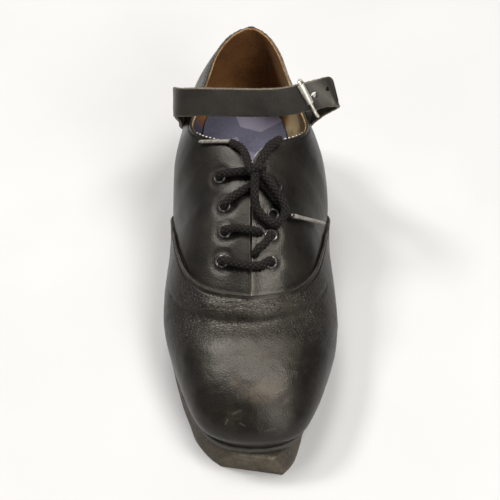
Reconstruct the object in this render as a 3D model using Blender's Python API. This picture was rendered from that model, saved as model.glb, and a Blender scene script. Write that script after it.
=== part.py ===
"""Hard shoe for step dancing, left foot, built from the pieces a maker puts together.

Metres, +Z up, toe at -Y, heel at +Y, outer side of the foot at +X.
Tables are in millimetres and are scaled by the named sizes.
"""
import math

import bmesh
import bpy
import numpy as np
from mathutils import Vector

MM = 0.001

# Sizes of the shoe
LENGTH = 264.0
BALL_WIDTH = 98.0
INSTEP_HEIGHT = 96.0
HEEL_HEIGHT = 36.0
WALL = 2.0
GAP = 0.3
OUTSOLE = 4.0
OUTSOLE_EDGE = 1.5
INSOLE = 2.5
INSOLE_INSET = 2.7
STRAP_WIDTH = 17.0
STRAP_THICKNESS = 2.4
LACE_RADIUS = 2.4
AGLET_RADIUS = 1.2
EYELET_BORE = 2.5
EYELET_BARREL = 2.9
EYELET_FLANGE = 3.8

# The last that the section table was measured on
LAST_LENGTH = 264.0
LAST_BALL = 98.0
LAST_INSTEP = 96.0
LAST_HEEL = 36.0

# Moves the whole shoe so that the middle of its footprint is the origin
ORIGIN_SHIFT = (-1.2, -2.2, 0.0)

SX = BALL_WIDTH / LAST_BALL
SY = LENGTH / LAST_LENGTH
SZ = INSTEP_HEIGHT / LAST_INSTEP

# Height of the feather line, where upper and sole meet, along the shoe
FEATHER = (
    # y, height
    (140.0, 41.5),
    (99.0, 41.0),
    (72.0, 40.0),
    (40.0, 33.0),
    (22.0, 27.0),
    (5.0, 21.5),
    (-8.0, 18.3),
    (-28.0, 15.4),
    (-48.0, 14.5),
    (-70.0, 15.3),
    (-92.0, 17.0),
    (-110.0, 18.8),
    (-135.0, 20.5),
)

# One row per section of the upper, heel to toe. foot: where it meets the sole.
# lean: how it leaves the sole. top: its upper edge. hug: how it comes into that edge.
SECTION_COLUMNS = (
    "foot_in", "foot_out", "foot_y",
    "lean_in", "lean_out", "lean_y", "lean_up",
    "top_mid", "top_half", "top_y", "top_z",
    "hug_in", "hug_out", "hug_y", "hug_up",
)
SECTIONS = (
    # heel back
    (3.5, -3.5, 128.0, 0.0, 0.0, 10.0, 18.0, 0.3, 0.0, 126.0, 105.0, 0.0, 0.0, 6.0, -24.0),
    # heel, a third round
    (18.0, 10.0, 124.1, 8.0, 2.0, 8.0, 18.0, -0.6, 11.2, 122.0, 102.0, 8.0, 0.0, 5.0, -22.0),
    # heel, two thirds round
    (28.5, 20.0, 113.5, 12.0, 4.0, 5.0, 18.0, -1.3, 19.7, 112.5, 96.0, 10.5, 1.0, 3.0, -20.0),
    # heel side
    (32.5, 25.0, 99.0, 13.0, 8.0, 1.0, 18.0, -1.2, 25.0, 98.0, 90.5, 11.0, 3.5, 0.0, -18.0),
    # quarter
    (33.0, 29.5, 72.0, 16.0, 14.0, 0.0, 18.0, -0.6, 31.5, 75.0, 86.5, 10.0, 7.0, 0.0, -17.0),
    # waist
    (34.5, 34.5, 42.0, 19.0, 19.0, 0.0, 18.0, -0.5, 35.0, 55.0, 88.5, 9.0, 8.0, 0.0, -16.0),
    # collar front
    (37.5, 38.5, 22.0, 18.0, 18.0, 0.0, 19.0, 0.0, 28.0, 42.5, 93.0, 14.0, 13.0, 0.0, -12.0),
    # throat corner
    (40.5, 41.0, 5.0, 17.0, 17.0, 0.0, 20.0, 0.0, 10.5, 32.0, 96.5, 23.0, 22.0, 0.0, -4.0),
    # top of the closed throat
    (42.5, 43.0, -8.0, 17.0, 16.0, 0.0, 21.0, 0.4, 0.8, 17.0, 94.0, 28.0, 27.0, 0.0, -2.0),
    # middle of the throat
    (44.5, 44.5, -28.0, 17.5, 17.0, 0.0, 21.0, 0.6, 0.7, -17.0, 80.0, 31.0, 30.0, 0.0, -1.0),
    # bottom of the throat
    (44.2, 45.0, -48.0, 17.5, 18.0, 0.0, 20.0, 0.6, 0.0, -50.5, 64.0, 32.0, 31.0, 0.0, 0.0),
    # vamp
    (40.6, 42.5, -69.0, 14.0, 16.0, 0.0, 20.0, 1.2, 0.0, -77.0, 55.5, 31.0, 31.0, 0.0, 0.0),
    # toe box
    (34.6, 37.0, -90.5, 10.0, 11.5, -4.0, 17.0, 2.4, 0.0, -101.5, 49.5, 27.0, 27.0, 2.0, 0.0),
    # toe crown
    (30.0, 32.6, -101.5, 7.0, 8.0, -9.0, 13.5, 3.4, 0.0, -116.6, 41.0, 23.0, 22.0, 1.0, 0.0),
    # toe nose
    (27.6, 30.4, -105.8, 2.5, 3.0, -12.0, 7.5, 3.8, 0.0, -124.6, 29.5, 19.0, 18.0, 0.5, 0.0),
    # toe front
    (26.0, 29.0, -108.4, -4.0, -3.6, -9.0, 1.0, 3.8, 0.0, -123.2, 19.7, 15.0, 13.0, 0.0, 0.0),
)
SECTION_STEPS = (2, 2, 2, 3, 4, 4, 5, 4, 4, 4, 4, 4, 3, 3, 3)
THROAT_BOTTOM = 10
THROAT_LEAST = 0.25
SKIN_STEPS = 11

# Outline of the toe tip where it stands on the floor
TIP_COLUMNS = ("y", "inner", "outer")
TIP = (
    (-36.0, 44.5, 42.0),
    (-51.0, 46.0, 42.0),
    (-63.0, 44.0, 40.5),
    (-75.0, 41.0, 38.0),
    (-86.0, 38.0, 34.5),
    (-97.0, 34.0, 31.0),
    (-108.0, 30.0, 28.5),
    (-118.0, 22.6, 25.6),
    (-124.0, 15.4, 22.4),
    (-129.0, 9.0, 17.6),
    (-134.0, 2.0, 11.0),
)
TIP_FACE_Y = -126.0
TIP_FACE_SKEW = 9.0

HEEL_BREAST = 74.0
HEEL_TAPER = 1.5

# Eyelets: place along the throat and distance out from its middle, on each side
EYELET_COLUMNS = ("row", "inner_y", "inner_x", "outer_y", "outer_x")
EYELET_ROWS = (
    ("1", 14.6, 17.0, 8.6, 14.8),
    ("2", -3.6, 14.2, -8.4, 13.2),
    ("3", -17.8, 14.2, -20.2, 11.8),
    ("4", -33.0, 15.8, -34.4, 11.4),
)

# Straps: middle line, and the lean of the strap's face
STRAP_COLUMNS = ("x", "y", "z", "lean", "roll")
STRAP_LONG = (
    (-35.0, 101.0, 51.0, 54.0, 0.0),
    (-40.0, 89.0, 66.0, 54.0, 0.0),
    (-43.0, 76.0, 84.0, 52.0, 0.0),
    (-44.0, 65.0, 98.0, 45.0, 0.0),
    (-43.5, 58.0, 105.5, 35.0, 0.0),
    (-39.5, 53.8, 109.0, 28.0, 0.0),
    (-28.0, 52.0, 111.2, 25.0, 0.0),
    (0.0, 51.5, 111.0, 25.0, 0.0),
    (18.0, 51.5, 111.6, 25.0, -4.0),
    (32.0, 52.5, 114.4, 29.0, -12.0),
    (39.4, 53.8, 115.6, 37.0, -15.0),
    (45.4, 55.9, 115.7, 46.0, -18.0),
    (49.0, 58.2, 113.6, 52.0, -20.0),
)
STRAP_SHORT = (
    (29.0, 101.0, 51.0, 54.0, 0.0),
    (35.0, 89.0, 66.0, 54.0, 0.0),
    (40.0, 77.0, 83.0, 52.0, 0.0),
    (43.8, 70.6, 94.0, 46.0, 0.0),
    (47.4, 66.4, 101.5, 50.0, -10.0),
    (49.2, 63.2, 106.8, 54.0, -18.0),
    (47.0, 60.6, 110.2, 50.0, -18.0),
    (43.9, 58.5, 112.2, 46.0, -16.0),
)
BUCKLE_X = 33.0
BUCKLE_SKEW = 15.0
BUCKLE_WIRE = 1.0
# Middle line of the buckle's wire: along the strap, across it, and out from it
BUCKLE_LINE = (
    (-2.46, 9.2, 3.5),
    (-2.6, 9.9, 2.6),
    (-2.5, 10.1, 0.6),
    (-2.1, 9.9, -1.5),
    (-1.1, 7.9, -3.3),
    (1.2, 5.6, -3.4),
    (5.6, 4.8, -3.4),
    (9.8, 4.4, -3.4),
    (11.0, 2.6, -3.4),
    (11.0, -3.0, -3.4),
    (9.8, -5.2, -3.5),
    (6.4, -6.4, -3.6),
    (3.6, -7.6, -3.6),
    (2.7, -9.8, -3.2),
    (3.0, -11.8, -1.4),
    (3.2, -12.3, 0.6),
    (2.7, -11.0, 2.6),
    (1.9, -7.6, 3.4),
    (0.99, -3.7, 3.5),
    (0.0, 0.0, 3.5),
    (-1.2, 4.5, 3.5),
)
ROLLER_ENDS = (-3.6, 8.8)
PRONG_LINE = (
    (8.7, 0.0, -3.3),
    (6.6, 0.0, -3.1),
    (4.9, 0.0, -1.6),
    (4.1, 0.0, 0.6),
    (3.7, 0.0, 2.7),
)
ROLLER_RADIUS = 2.0
ROLLER_BORE = 1.35
PRONG_RADIUS = 0.8
PRONG_HOLE = 2.2

# Laces on the instep: x, y and height of the middle line above the leather
LACE_BARS = {
    "lace_bar_4": (
        (-15.8, -33.0, 4.4), (-8.0, -34.6, 3.2), (0.0, -35.6, 3.2), (6.0, -35.4, 3.2), (11.4, -34.4, 4.4),
    ),
    "lace_bar_3_inner": ((-14.2, -17.8, 4.4), (-7.0, -17.6, 3.2), (0.0, -18.2, 3.2), (5.0, -18.8, 3.0)),
    "lace_bar_3_outer": ((11.8, -20.2, 4.4), (8.6, -24.2, 3.2), (5.8, -27.2, 3.2), (3.4, -29.2, 3.0)),
    "lace_bar_2": ((-14.2, -3.6, 4.4), (-8.0, 0.0, 3.2), (-2.0, 3.2, 3.2), (0.8, 4.8, 3.0)),
    "lace_bar_1": (
        (-17.0, 14.6, 4.4), (-9.0, 13.6, 3.2), (0.0, 12.6, 3.4), (6.0, 11.4, 3.4), (14.8, 8.6, 4.4),
    ),
}
KNOT = (3.0, 11.6, 9.8)
KNOT_SIZE = (5.6, 4.8, 3.6)
LACE_ENDS = {
    "lace_loop_down": (
        (2.0, 6.6, 9.4), (2.2, -1.0, 7.8), (3.4, -7.4, 5.6), (6.8, -12.6, 5.0), (11.6, -14.6, 5.0),
        (16.0, -12.0, 5.8), (16.2, -5.4, 8.4), (12.4, 1.0, 8.8), (7.6, 7.2, 9.4),
    ),
    "lace_loop_up": (
        (3.4, 17.0, 9.8), (5.4, 23.2, 8.8), (8.0, 28.2, 6.8), (10.6, 32.0, 5.2), (13.8, 33.0, 4.4),
        (14.2, 28.6, 4.4), (11.4, 22.8, 6.6), (7.8, 16.6, 9.2),
    ),
    "lace_end_inner": ((-2.4, 12.6, 9.8), (-4.2, 19.6, 7.8), (-6.6, 25.6, 5.0), (-10.6, 30.6, 3.0)),
    "lace_end_outer": ((7.4, 5.2, 3.2), (12.0, 1.0, 3.1), (16.8, -3.0, 3.1), (20.6, -6.6, 3.1)),
}
AGLETS = {
    "aglet_inner": ((-11.2, 31.0, 2.5), (-28.5, 39.4, 2.3)),
    "aglet_outer": ((21.8, -7.6, 3.4), (40.0, 2.4, 4.0)),
}

COLOURS = {
    "leather": (0.03, 0.028, 0.027, 1.0),
    "resin": (0.06, 0.055, 0.05, 1.0),
    "insole": (0.15, 0.14, 0.2, 1.0),
    "lace": (0.02, 0.017, 0.015, 1.0),
    "steel": (0.6, 0.6, 0.6, 1.0),
    "aglet": (0.4, 0.37, 0.33, 1.0),
}


def clear_scene():
    for item in list(bpy.data.objects):
        bpy.data.objects.remove(item, do_unlink=True)


def material(name):
    made = bpy.data.materials.get(name)
    if made is None:
        made = bpy.data.materials.new(name)
        made.use_nodes = True
        made.node_tree.nodes["Principled BSDF"].inputs["Base Color"].default_value = COLOURS[name]
    return made


def add_object(name, data, finish):
    item = bpy.data.objects.new(name, data)
    bpy.context.scene.collection.objects.link(item)
    data.materials.append(material(finish))
    return item


def add_mesh(name, points, faces, finish):
    """A mesh object from points in millimetres, with its faces turned outwards."""
    data = bpy.data.meshes.new(name)
    data.from_pydata([tuple(MM * float(v) for v in p) for p in points], [], faces)
    work = bmesh.new()
    work.from_mesh(data)
    bmesh.ops.remove_doubles(work, verts=work.verts, dist=0.00002)
    bmesh.ops.recalc_face_normals(work, faces=work.faces)
    work.to_mesh(data)
    work.free()
    return add_object(name, data, finish)


def add_tube(name, points, radius, finish, closed=False):
    """A round bar along a line of points in millimetres."""
    data = bpy.data.curves.new(name, "CURVE")
    data.dimensions = "3D"
    data.bevel_depth = radius * MM
    data.bevel_resolution = 2
    data.use_fill_caps = not closed
    spline = data.splines.new("POLY")
    spline.points.add(len(points) - 1)
    for spot, p in zip(spline.points, points):
        spot.co = (MM * p[0], MM * p[1], MM * p[2], 1.0)
    spline.use_cyclic_u = closed
    return add_object(name, data, finish)


def smooth_rows(rows, spots, first=None):
    """Rows of a table read at the row numbers in spots, along a smooth curve."""
    rows = np.asarray(rows, float)
    before = 2 * rows[0] - rows[1] if first is None else first
    after = 2 * rows[-1] - rows[-2]
    full = np.vstack([before, rows, after])
    spots = np.asarray(spots, float)
    k = np.clip(np.floor(spots).astype(int), 0, len(rows) - 2)
    t = (spots - k)[:, None]
    a, b, c, d = full[k], full[k + 1], full[k + 2], full[k + 3]
    return 0.5 * (2 * b + (c - a) * t + (2 * a - 5 * b + 4 * c - d) * t**2 + (3 * b - a - 3 * c + d) * t**3)


def feather_height(y):
    """Height of the feather line at y, a smooth curve through the FEATHER table."""
    table = np.asarray(FEATHER[::-1], float)
    ys, zs = table[:, 0] * SY, table[:, 1]
    slope = np.gradient(zs, ys)
    y = np.clip(np.asarray(y, float), ys[0], ys[-1])
    k = np.clip(np.searchsorted(ys, y) - 1, 0, len(ys) - 2)
    h = ys[k + 1] - ys[k]
    t = (y - ys[k]) / h
    rise = (1 + 2 * t) * (1 - t) ** 2 * zs[k] + t * (1 - t) ** 2 * h * slope[k]
    rise += t**2 * (3 - 2 * t) * zs[k + 1] + t**2 * (t - 1) * h * slope[k + 1]
    return rise + (HEEL_HEIGHT - LAST_HEEL) * np.clip(y / 60.0, 0.0, 1.0)


def section_spots(steps):
    """Row numbers along the section table, with the given number of steps between rows."""
    spots = [0.0]
    for row, count in enumerate(steps):
        spots += [row + (i + 1) / count for i in range(count)]
    return np.array(spots)


def skin(side, spots, along):
    """Points of the upper's outer face: one line of points per section, foot to top edge.

    side is -1 for the inner half and +1 for the outer half.
    """
    names = {name: i for i, name in enumerate(SECTION_COLUMNS)}
    rows = np.asarray(SECTIONS, float)
    mirror = rows[1].copy()
    mirror[names["top_half"]] *= -1
    for near, far in (("foot_in", "foot_out"), ("lean_in", "lean_out"), ("hug_in", "hug_out")):
        mirror[names[near]], mirror[names[far]] = -rows[1][names[far]], -rows[1][names[near]]
    read = smooth_rows(rows, spots, mirror)

    def col(name):
        return read[:, names[name]]

    flank = "in" if side < 0 else "out"
    foot_x = side * SX * col("foot_" + flank)
    apart = np.where(spots < THROAT_BOTTOM - 1e-9, np.maximum(col("top_half"), THROAT_LEAST), 0.0)
    apart = np.where(spots < 1e-9, 0.0, apart)
    top_x = SX * (col("top_mid") + side * apart)
    foot_y, top_y = SY * col("foot_y"), SY * col("top_y")
    foot = np.stack([foot_x, foot_y, feather_height(foot_y)], 1)
    top = np.stack([top_x, top_y, SZ * col("top_z")], 1)
    lean = np.stack([side * SX * col("lean_" + flank), SY * col("lean_y"), col("lean_up")], 1)
    hug = np.stack([side * SX * col("hug_" + flank), SY * col("hug_y"), col("hug_up")], 1)
    t = np.asarray(along, float)[None, :, None]
    p0, p1, p2, p3 = (p[:, None, :] for p in (foot, foot + lean, top + hug, top))
    return p0 * (1 - t) ** 3 + 3 * p1 * t * (1 - t) ** 2 + 3 * p2 * t**2 * (1 - t) + p3 * t**3


def skin_normals(points, side):
    """Outward directions of a grid of skin points."""
    along = np.gradient(points, axis=0)
    across = np.gradient(points, axis=1)
    normal = np.cross(across, along) * side
    return normal / np.maximum(np.linalg.norm(normal, axis=2, keepdims=True), 1e-9)


class Skin:
    """The outer face of the upper sampled finely, to seat other pieces on it."""

    def __init__(self):
        spots = section_spots([12] * (len(SECTIONS) - 1))
        along = np.linspace(0.0, 1.0, 61)
        points, normals = [], []
        for side in (-1, 1):
            grid = skin(side, spots, along)
            points.append(grid.reshape(-1, 3))
            normals.append(skin_normals(grid, side).reshape(-1, 3))
        self.points = np.concatenate(points)
        self.normals = np.concatenate(normals)

    def read(self, at, axes, keep):
        away = np.linalg.norm(self.points[:, axes] - np.asarray(at), axis=1) + 1e-6
        away = np.where(keep, away, 1e9)
        near = np.argpartition(away, 6)[:6]
        share = 1.0 / away[near] ** 2
        share /= share.sum()
        normal = share @ self.normals[near]
        return share @ self.points[near], normal / np.linalg.norm(normal)

    def from_above(self, x, y):
        """Point and outward direction on the instep, seen from above."""
        return self.read((x, y), [0, 1], self.normals[:, 2] > 0.12)

    def from_side(self, side, y, z):
        """Point and outward direction on one flank, seen from the side."""
        return self.read((y, z), [1, 2], self.points[:, 0] * side > 2.0)

    def lifted(self, x, y, lift):
        point, normal = self.from_above(x, y)
        return point + lift * normal


def smooth_line(points, step):
    """A smooth line through a few points, with a point about every step millimetres."""
    points = np.asarray(points, float)
    fine = smooth_rows(points, np.linspace(0, len(points) - 1, 40 * len(points)))
    length = np.concatenate([[0.0], np.cumsum(np.linalg.norm(np.diff(fine, axis=0), axis=1))])
    count = max(2, int(round(length[-1] / step)) + 1)
    spots = np.linspace(0.0, length[-1], count)
    return np.stack([np.interp(spots, length, fine[:, i]) for i in range(3)], 1)


def add_cutter(name, centre, axis, radius, depth):
    """A hidden round bar used only to cut a hole."""
    data = bpy.data.meshes.new(name)
    work = bmesh.new()
    bmesh.ops.create_cone(
        work, cap_ends=True, segments=10, radius1=radius * MM, radius2=radius * MM, depth=depth * MM
    )
    turn = Vector(axis).to_track_quat("Z", "Y").to_matrix().to_4x4()
    turn.translation = Vector([MM * float(v) for v in centre])
    bmesh.ops.transform(work, matrix=turn, verts=work.verts)
    work.to_mesh(data)
    work.free()
    cutter = bpy.data.objects.new(name, data)
    bpy.context.scene.collection.objects.link(cutter)
    cutter.hide_render = True
    cutter.display_type = "WIRE"
    return cutter


def cut(item, cutter):
    hole = item.modifiers.new(cutter.name, "BOOLEAN")
    hole.operation = "DIFFERENCE"
    hole.solver = "EXACT"
    hole.object = cutter


def build_upper():
    """Both halves of the upper, joined down the heel back and along the vamp, with a real wall."""
    spots = section_spots(SECTION_STEPS)
    along = np.linspace(0.0, 1.0, SKIN_STEPS + 1)
    points, faces = [], []
    for side in (-1, 1):
        grid = skin(side, spots, along)
        base = len(points)
        points += grid.reshape(-1, 3).tolist()
        rows, cols = grid.shape[:2]
        for i in range(rows - 1):
            for j in range(cols - 1):
                a = base + i * cols + j
                quad = [a, a + 1, a + cols + 1, a + cols]
                faces.append(quad if side > 0 else quad[::-1])
    upper = add_mesh("upper", points, faces, "leather")
    wall = upper.modifiers.new("wall", "SOLIDIFY")
    wall.thickness = WALL * MM
    wall.offset = -1.0
    wall.use_even_offset = False
    return upper


def feather_outline(inset):
    """Left and right lines of the feather, heel to toe, moved inwards by inset."""
    spots = section_spots([3] * (len(SECTIONS) - 1))
    sides = []
    for side in (-1, 1):
        line = skin(side, spots, [0.0])[:, 0, :]
        front = skin(side, spots[-1:], np.linspace(0.0, 1.0, 9))[0][1:]
        line = np.vstack([line, front])
        way = np.gradient(line[:, :2], axis=0)
        way /= np.linalg.norm(way, axis=1, keepdims=True)
        normal = np.stack([way[:, 1], -way[:, 0]], 1) * side
        normal[0] = (0.0, -1.0)
        normal[-1] = (0.0, 1.0)
        moved = line[:, :2] + inset * normal
        sides.append(moved)
    return sides


def add_plate(name, inner, outer, top, bottom, finish):
    """A flat piece between two side lines; top and bottom give its height at a point."""
    points, faces = [], []
    for level in (top, bottom):
        for line in (inner, outer):
            points += [(x, y, level(x, y)) for x, y in line]
    count = len(inner)
    ti, to, bi, bo = (np.arange(count) + k * count for k in range(4))
    for i in range(count - 1):
        faces.append((ti[i], ti[i + 1], to[i + 1], to[i]))
        faces.append((bi[i], bo[i], bo[i + 1], bi[i + 1]))
        faces.append((ti[i], bi[i], bi[i + 1], ti[i + 1]))
        faces.append((to[i], to[i + 1], bo[i + 1], bo[i]))
    for i in (0, count - 1):
        faces.append((ti[i], to[i], bo[i], bi[i]))
    faces = [[int(v) for v in face] for face in faces]
    return add_mesh(name, points, faces, finish)


def build_soles():
    inner, outer = feather_outline(-OUTSOLE_EDGE)
    add_plate(
        "outsole", inner, outer,
        lambda x, y: float(feather_height(y)) - GAP,
        lambda x, y: float(feather_height(y)) - GAP - OUTSOLE,
        "leather",
    )
    inner, outer = feather_outline(INSOLE_INSET)
    add_plate(
        "insole", inner, outer,
        lambda x, y: float(feather_height(y)) + INSOLE,
        lambda x, y: float(feather_height(y)),
        "insole",
    )


def under_sole(x, y):
    return float(feather_height(y)) - 2 * GAP - OUTSOLE


def build_tip():
    """The toe tip: a block under the forefoot, flat below, its nose cut off by a skew face."""
    rows = smooth_rows(TIP, np.linspace(0, len(TIP) - 1, 28))
    inner = np.stack([-SX * rows[:, 1], SY * rows[:, 0]], 1)
    outer = np.stack([SX * rows[:, 2], SY * rows[:, 0]], 1)
    tip = add_plate("toe_tip", inner, outer, under_sole, lambda x, y: 0.0, "resin")
    work = bmesh.new()
    bmesh.ops.create_cube(work, size=1.0)
    bmesh.ops.scale(work, vec=(0.12, 0.04, 0.08), verts=work.verts)
    bmesh.ops.translate(work, vec=(0.0, -0.02, 0.0), verts=work.verts)
    turn = Vector((math.sin(math.radians(TIP_FACE_SKEW)), math.cos(math.radians(TIP_FACE_SKEW)), 0.0))
    bmesh.ops.rotate(work, matrix=turn.to_track_quat("Y", "Z").to_matrix(), verts=work.verts)
    bmesh.ops.translate(work, vec=(0.0, MM * SY * TIP_FACE_Y, 0.0), verts=work.verts)
    data = bpy.data.meshes.new("tip_face_cutter")
    work.to_mesh(data)
    work.free()
    cutter = bpy.data.objects.new("tip_face_cutter", data)
    bpy.context.scene.collection.objects.link(cutter)
    cutter.hide_render = True
    cutter.display_type = "WIRE"
    cut(tip, cutter)


def build_heel():
    """The heel block: the heel part of the feather outline, tapering a little to the floor."""
    inner, outer = feather_outline(-0.8)
    breast = SY * HEEL_BREAST
    lines = []
    for line in (inner, outer):
        keep = line[line[:, 1] > breast]
        i = len(keep)
        share = (line[i - 1, 1] - breast) / (line[i - 1, 1] - line[i, 1])
        lines.append(np.vstack([keep, line[i - 1] + share * (line[i] - line[i - 1])]))
    inner, outer = lines
    low = []
    middle = np.array([0.0, 0.5 * (inner[0, 1] + breast)])
    for line in lines:
        away = line - middle
        away *= 1.0 - HEEL_TAPER / np.maximum(np.linalg.norm(away, axis=1, keepdims=True), 1.0)
        low.append(middle + away)
    points = [(x, y, under_sole(x, y)) for x, y in np.vstack([inner, outer])]
    points += [(x, y, 0.0) for x, y in np.vstack(low)]
    n = len(inner)
    faces = []
    for i in range(n - 1):
        faces.append((i, i + 1, n + i + 1, n + i))
        faces.append((2 * n + i, 3 * n + i, 3 * n + i + 1, 2 * n + i + 1))
        faces.append((i, 2 * n + i, 2 * n + i + 1, i + 1))
        faces.append((n + i, n + i + 1, 3 * n + i + 1, 3 * n + i))
    faces.append((n - 1, 3 * n - 1, 4 * n - 1, 2 * n - 1))
    add_mesh("heel", points, faces, "resin")


def strap_frame(rows, spots):
    """Middle points, width directions and outward directions along a strap."""
    read = smooth_rows(rows, spots)
    middle = read[:, :3]
    lean, roll = np.radians(read[:, 3]), np.radians(read[:, 4])
    width = np.stack([np.sin(roll), np.sin(lean) * np.cos(roll), np.cos(lean) * np.cos(roll)], 1)
    way = np.gradient(middle, axis=0)
    width -= way * (np.sum(width * way, 1) / np.sum(way * way, 1))[:, None]
    width /= np.linalg.norm(width, axis=1, keepdims=True)
    out = np.cross(way, width)
    out /= np.linalg.norm(out, axis=1, keepdims=True)
    return middle, width, out


def build_strap(name, rows, face, seat):
    """A flat strap; where it lies on a flank it is moved out clear of the upper."""
    spots = np.linspace(0, len(rows) - 1, 4 * (len(rows) - 1) + 1)
    middle, width, out = strap_frame(rows, spots)
    half = 0.5 * STRAP_THICKNESS
    side = 1 if middle[0, 0] > 0 else -1
    for i in range(len(middle)):
        if middle[i, 2] < 95.0:
            need = 0.0
            for share in (-0.5, -0.25, 0.0, 0.25, 0.5):
                spot = middle[i] + share * STRAP_WIDTH * width[i]
                point, _ = seat.from_side(side, spot[1], spot[2])
                need = max(need, abs(point[0]) + half + 2 * GAP - abs(spot[0]))
            middle[i, 0] += side * need
    middle[2:-2] = (middle[1:-3] + 2 * middle[2:-2] + middle[3:-1]) / 4
    points = []
    for across, through in ((-1, -1), (1, -1), (1, 1), (-1, 1)):
        points += (middle + across * 0.5 * STRAP_WIDTH * width + face * through * half * out).tolist()
    n = len(middle)
    faces = []
    for k in range(4):
        a, b = k * n, (k + 1) % 4 * n
        faces += [(a + i, a + i + 1, b + i + 1, b + i) for i in range(n - 1)]
    faces += [(0, n, 2 * n, 3 * n), (n - 1, 2 * n - 1, 3 * n - 1, 4 * n - 1)]
    return add_mesh(name, points, faces, "leather")


def build_straps(seat):
    long_strap = build_strap("strap_long", STRAP_LONG, -1, seat)
    build_strap("strap_short", STRAP_SHORT, 1, seat)
    spots = np.linspace(0, len(STRAP_LONG) - 1, 800)
    middle, width, out = strap_frame(STRAP_LONG, spots)
    i = int(np.argmin(np.abs(middle[:, 0] - BUCKLE_X) + 100 * (spots < 6) + 100 * (spots > 10.5)))
    run = np.concatenate([[0.0], np.cumsum(np.linalg.norm(np.diff(middle, axis=0), axis=1))])
    run -= run[i]

    def by_strap(along, across, height):
        """A point beside the strap, counted from the roller."""
        j = int(np.argmin(np.abs(run - along)))
        face = -out[j] if out[i] @ out[j] > 0 else out[j]
        if out[i][1] < 0:
            face = -face
        return middle[j] + across * width[j] + height * face

    line = np.array([by_strap(*spot) for spot in BUCKLE_LINE])
    ring = np.vstack([line, line[:1]])
    ring = smooth_rows(ring, np.linspace(0, len(line), 4 * len(line) + 1), line[-1])[:-1]
    add_tube("buckle_frame", ring, BUCKLE_WIRE, "steel", closed=True)
    skew = math.radians(BUCKLE_SKEW)
    low, high = (
        by_strap(-math.sin(skew) * end, math.cos(skew) * end, 3.5) for end in ROLLER_ENDS
    )
    wide = (high - low) / np.linalg.norm(high - low)
    face = by_strap(0.0, 0.0, 1.0) - by_strap(0.0, 0.0, 0.0)
    face -= wide * (face @ wide)
    face /= np.linalg.norm(face)
    up = np.cross(wide, face)
    count = 12
    points, faces = [], []
    for radius, end in ((ROLLER_RADIUS, low), (ROLLER_RADIUS, high), (ROLLER_BORE, high), (ROLLER_BORE, low)):
        for k in range(count):
            turn = 2 * math.pi * k / count
            points.append(end + radius * (math.cos(turn) * face + math.sin(turn) * up))
    for k in range(4):
        a, b = k * count, (k + 1) % 4 * count
        faces += [(a + j, a + (j + 1) % count, b + (j + 1) % count, b + j) for j in range(count)]
    add_mesh("buckle_roller", points, faces, "steel")
    prong = smooth_line([by_strap(*spot) for spot in PRONG_LINE], 1.6)
    add_tube("buckle_prong", prong, PRONG_RADIUS, "steel")
    depth = (prong - middle[i]) @ face
    k = int(np.argmin(np.abs(depth)))
    cut(long_strap, add_cutter("prong_hole_cutter", prong[k], face, PRONG_HOLE, 9.0))


def build_eyelets(seat, upper):
    """Eyelets: a barrel through the upper's wall with a flange outside."""
    ring = 12
    profile = (
        (EYELET_BORE, -WALL - 0.3), (EYELET_BARREL, -WALL - 0.3), (EYELET_BARREL, GAP),
        (EYELET_FLANGE, GAP), (EYELET_FLANGE - 0.4, GAP + 0.8), (EYELET_BORE, GAP + 0.8),
    )
    for row, inner_y, inner_x, outer_y, outer_x in EYELET_ROWS:
        for x, y, label in ((-inner_x, inner_y, "inner"), (outer_x, outer_y, "outer")):
            centre, normal = seat.from_above(SX * x, SY * y)
            across = np.cross(normal, (0.0, 1.0, 0.0))
            across /= np.linalg.norm(across)
            ahead = np.cross(normal, across)
            points, faces = [], []
            for radius, height in profile:
                for k in range(ring):
                    turn = 2 * math.pi * k / ring
                    ray = math.cos(turn) * across + math.sin(turn) * ahead
                    points.append(centre + normal * height + radius * ray)
            count = len(profile)
            for k in range(count):
                a, b = k * ring, (k + 1) % count * ring
                faces += [(a + j, a + (j + 1) % ring, b + (j + 1) % ring, b + j) for j in range(ring)]
            add_mesh(f"eyelet_{row}_{label}", points, faces, "steel")
            cutter = add_cutter(f"eyelet_hole_{row}_{label}", centre, normal, EYELET_BARREL + GAP + 0.2, 8.0)
            cut(upper, cutter)


def build_laces(seat):
    for name, spots in LACE_BARS.items():
        line = [seat.lifted(*spot) for spot in spots]
        add_tube(name, smooth_line(line, 5.5), LACE_RADIUS, "lace")
    centre = seat.lifted(*KNOT)
    normal = seat.from_above(KNOT[0], KNOT[1])[1]
    data = bpy.data.meshes.new("lace_knot")
    work = bmesh.new()
    bmesh.ops.create_icosphere(work, subdivisions=2, radius=MM)
    bmesh.ops.scale(work, vec=KNOT_SIZE, verts=work.verts)
    turn = Vector(normal).to_track_quat("Z", "Y").to_matrix().to_4x4()
    turn.translation = Vector([MM * float(v) for v in centre])
    bmesh.ops.transform(work, matrix=turn, verts=work.verts)
    work.to_mesh(data)
    work.free()
    add_object("lace_knot", data, "lace")
    for name, spots in LACE_ENDS.items():
        line = [seat.lifted(*spot) for spot in spots]
        add_tube(name, smooth_line(line, 5.0), LACE_RADIUS, "lace")
    for name, spots in AGLETS.items():
        line = [seat.lifted(*spot) for spot in spots]
        add_tube(name, smooth_line(line, 12.0), AGLET_RADIUS, "aglet")


def main():
    clear_scene()
    seat = Skin()
    upper = build_upper()
    build_soles()
    build_tip()
    build_heel()
    build_straps(seat)
    build_eyelets(seat, upper)
    build_laces(seat)
    for item in bpy.data.objects:
        item.location = [MM * v for v in ORIGIN_SHIFT]


main()
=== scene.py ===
# %% [markdown]
# # A hard dance shoe, laced and strapped
# This lesson dresses the solid model of one black leather dance shoe, the wearer's left one.
# The model gives every size, so each piece here is laid where its solid is.
# Sizes in the tables are millimetres on the last, toe towards -Y and outer side towards +X.

# %% Load the solid model
import math

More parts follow.
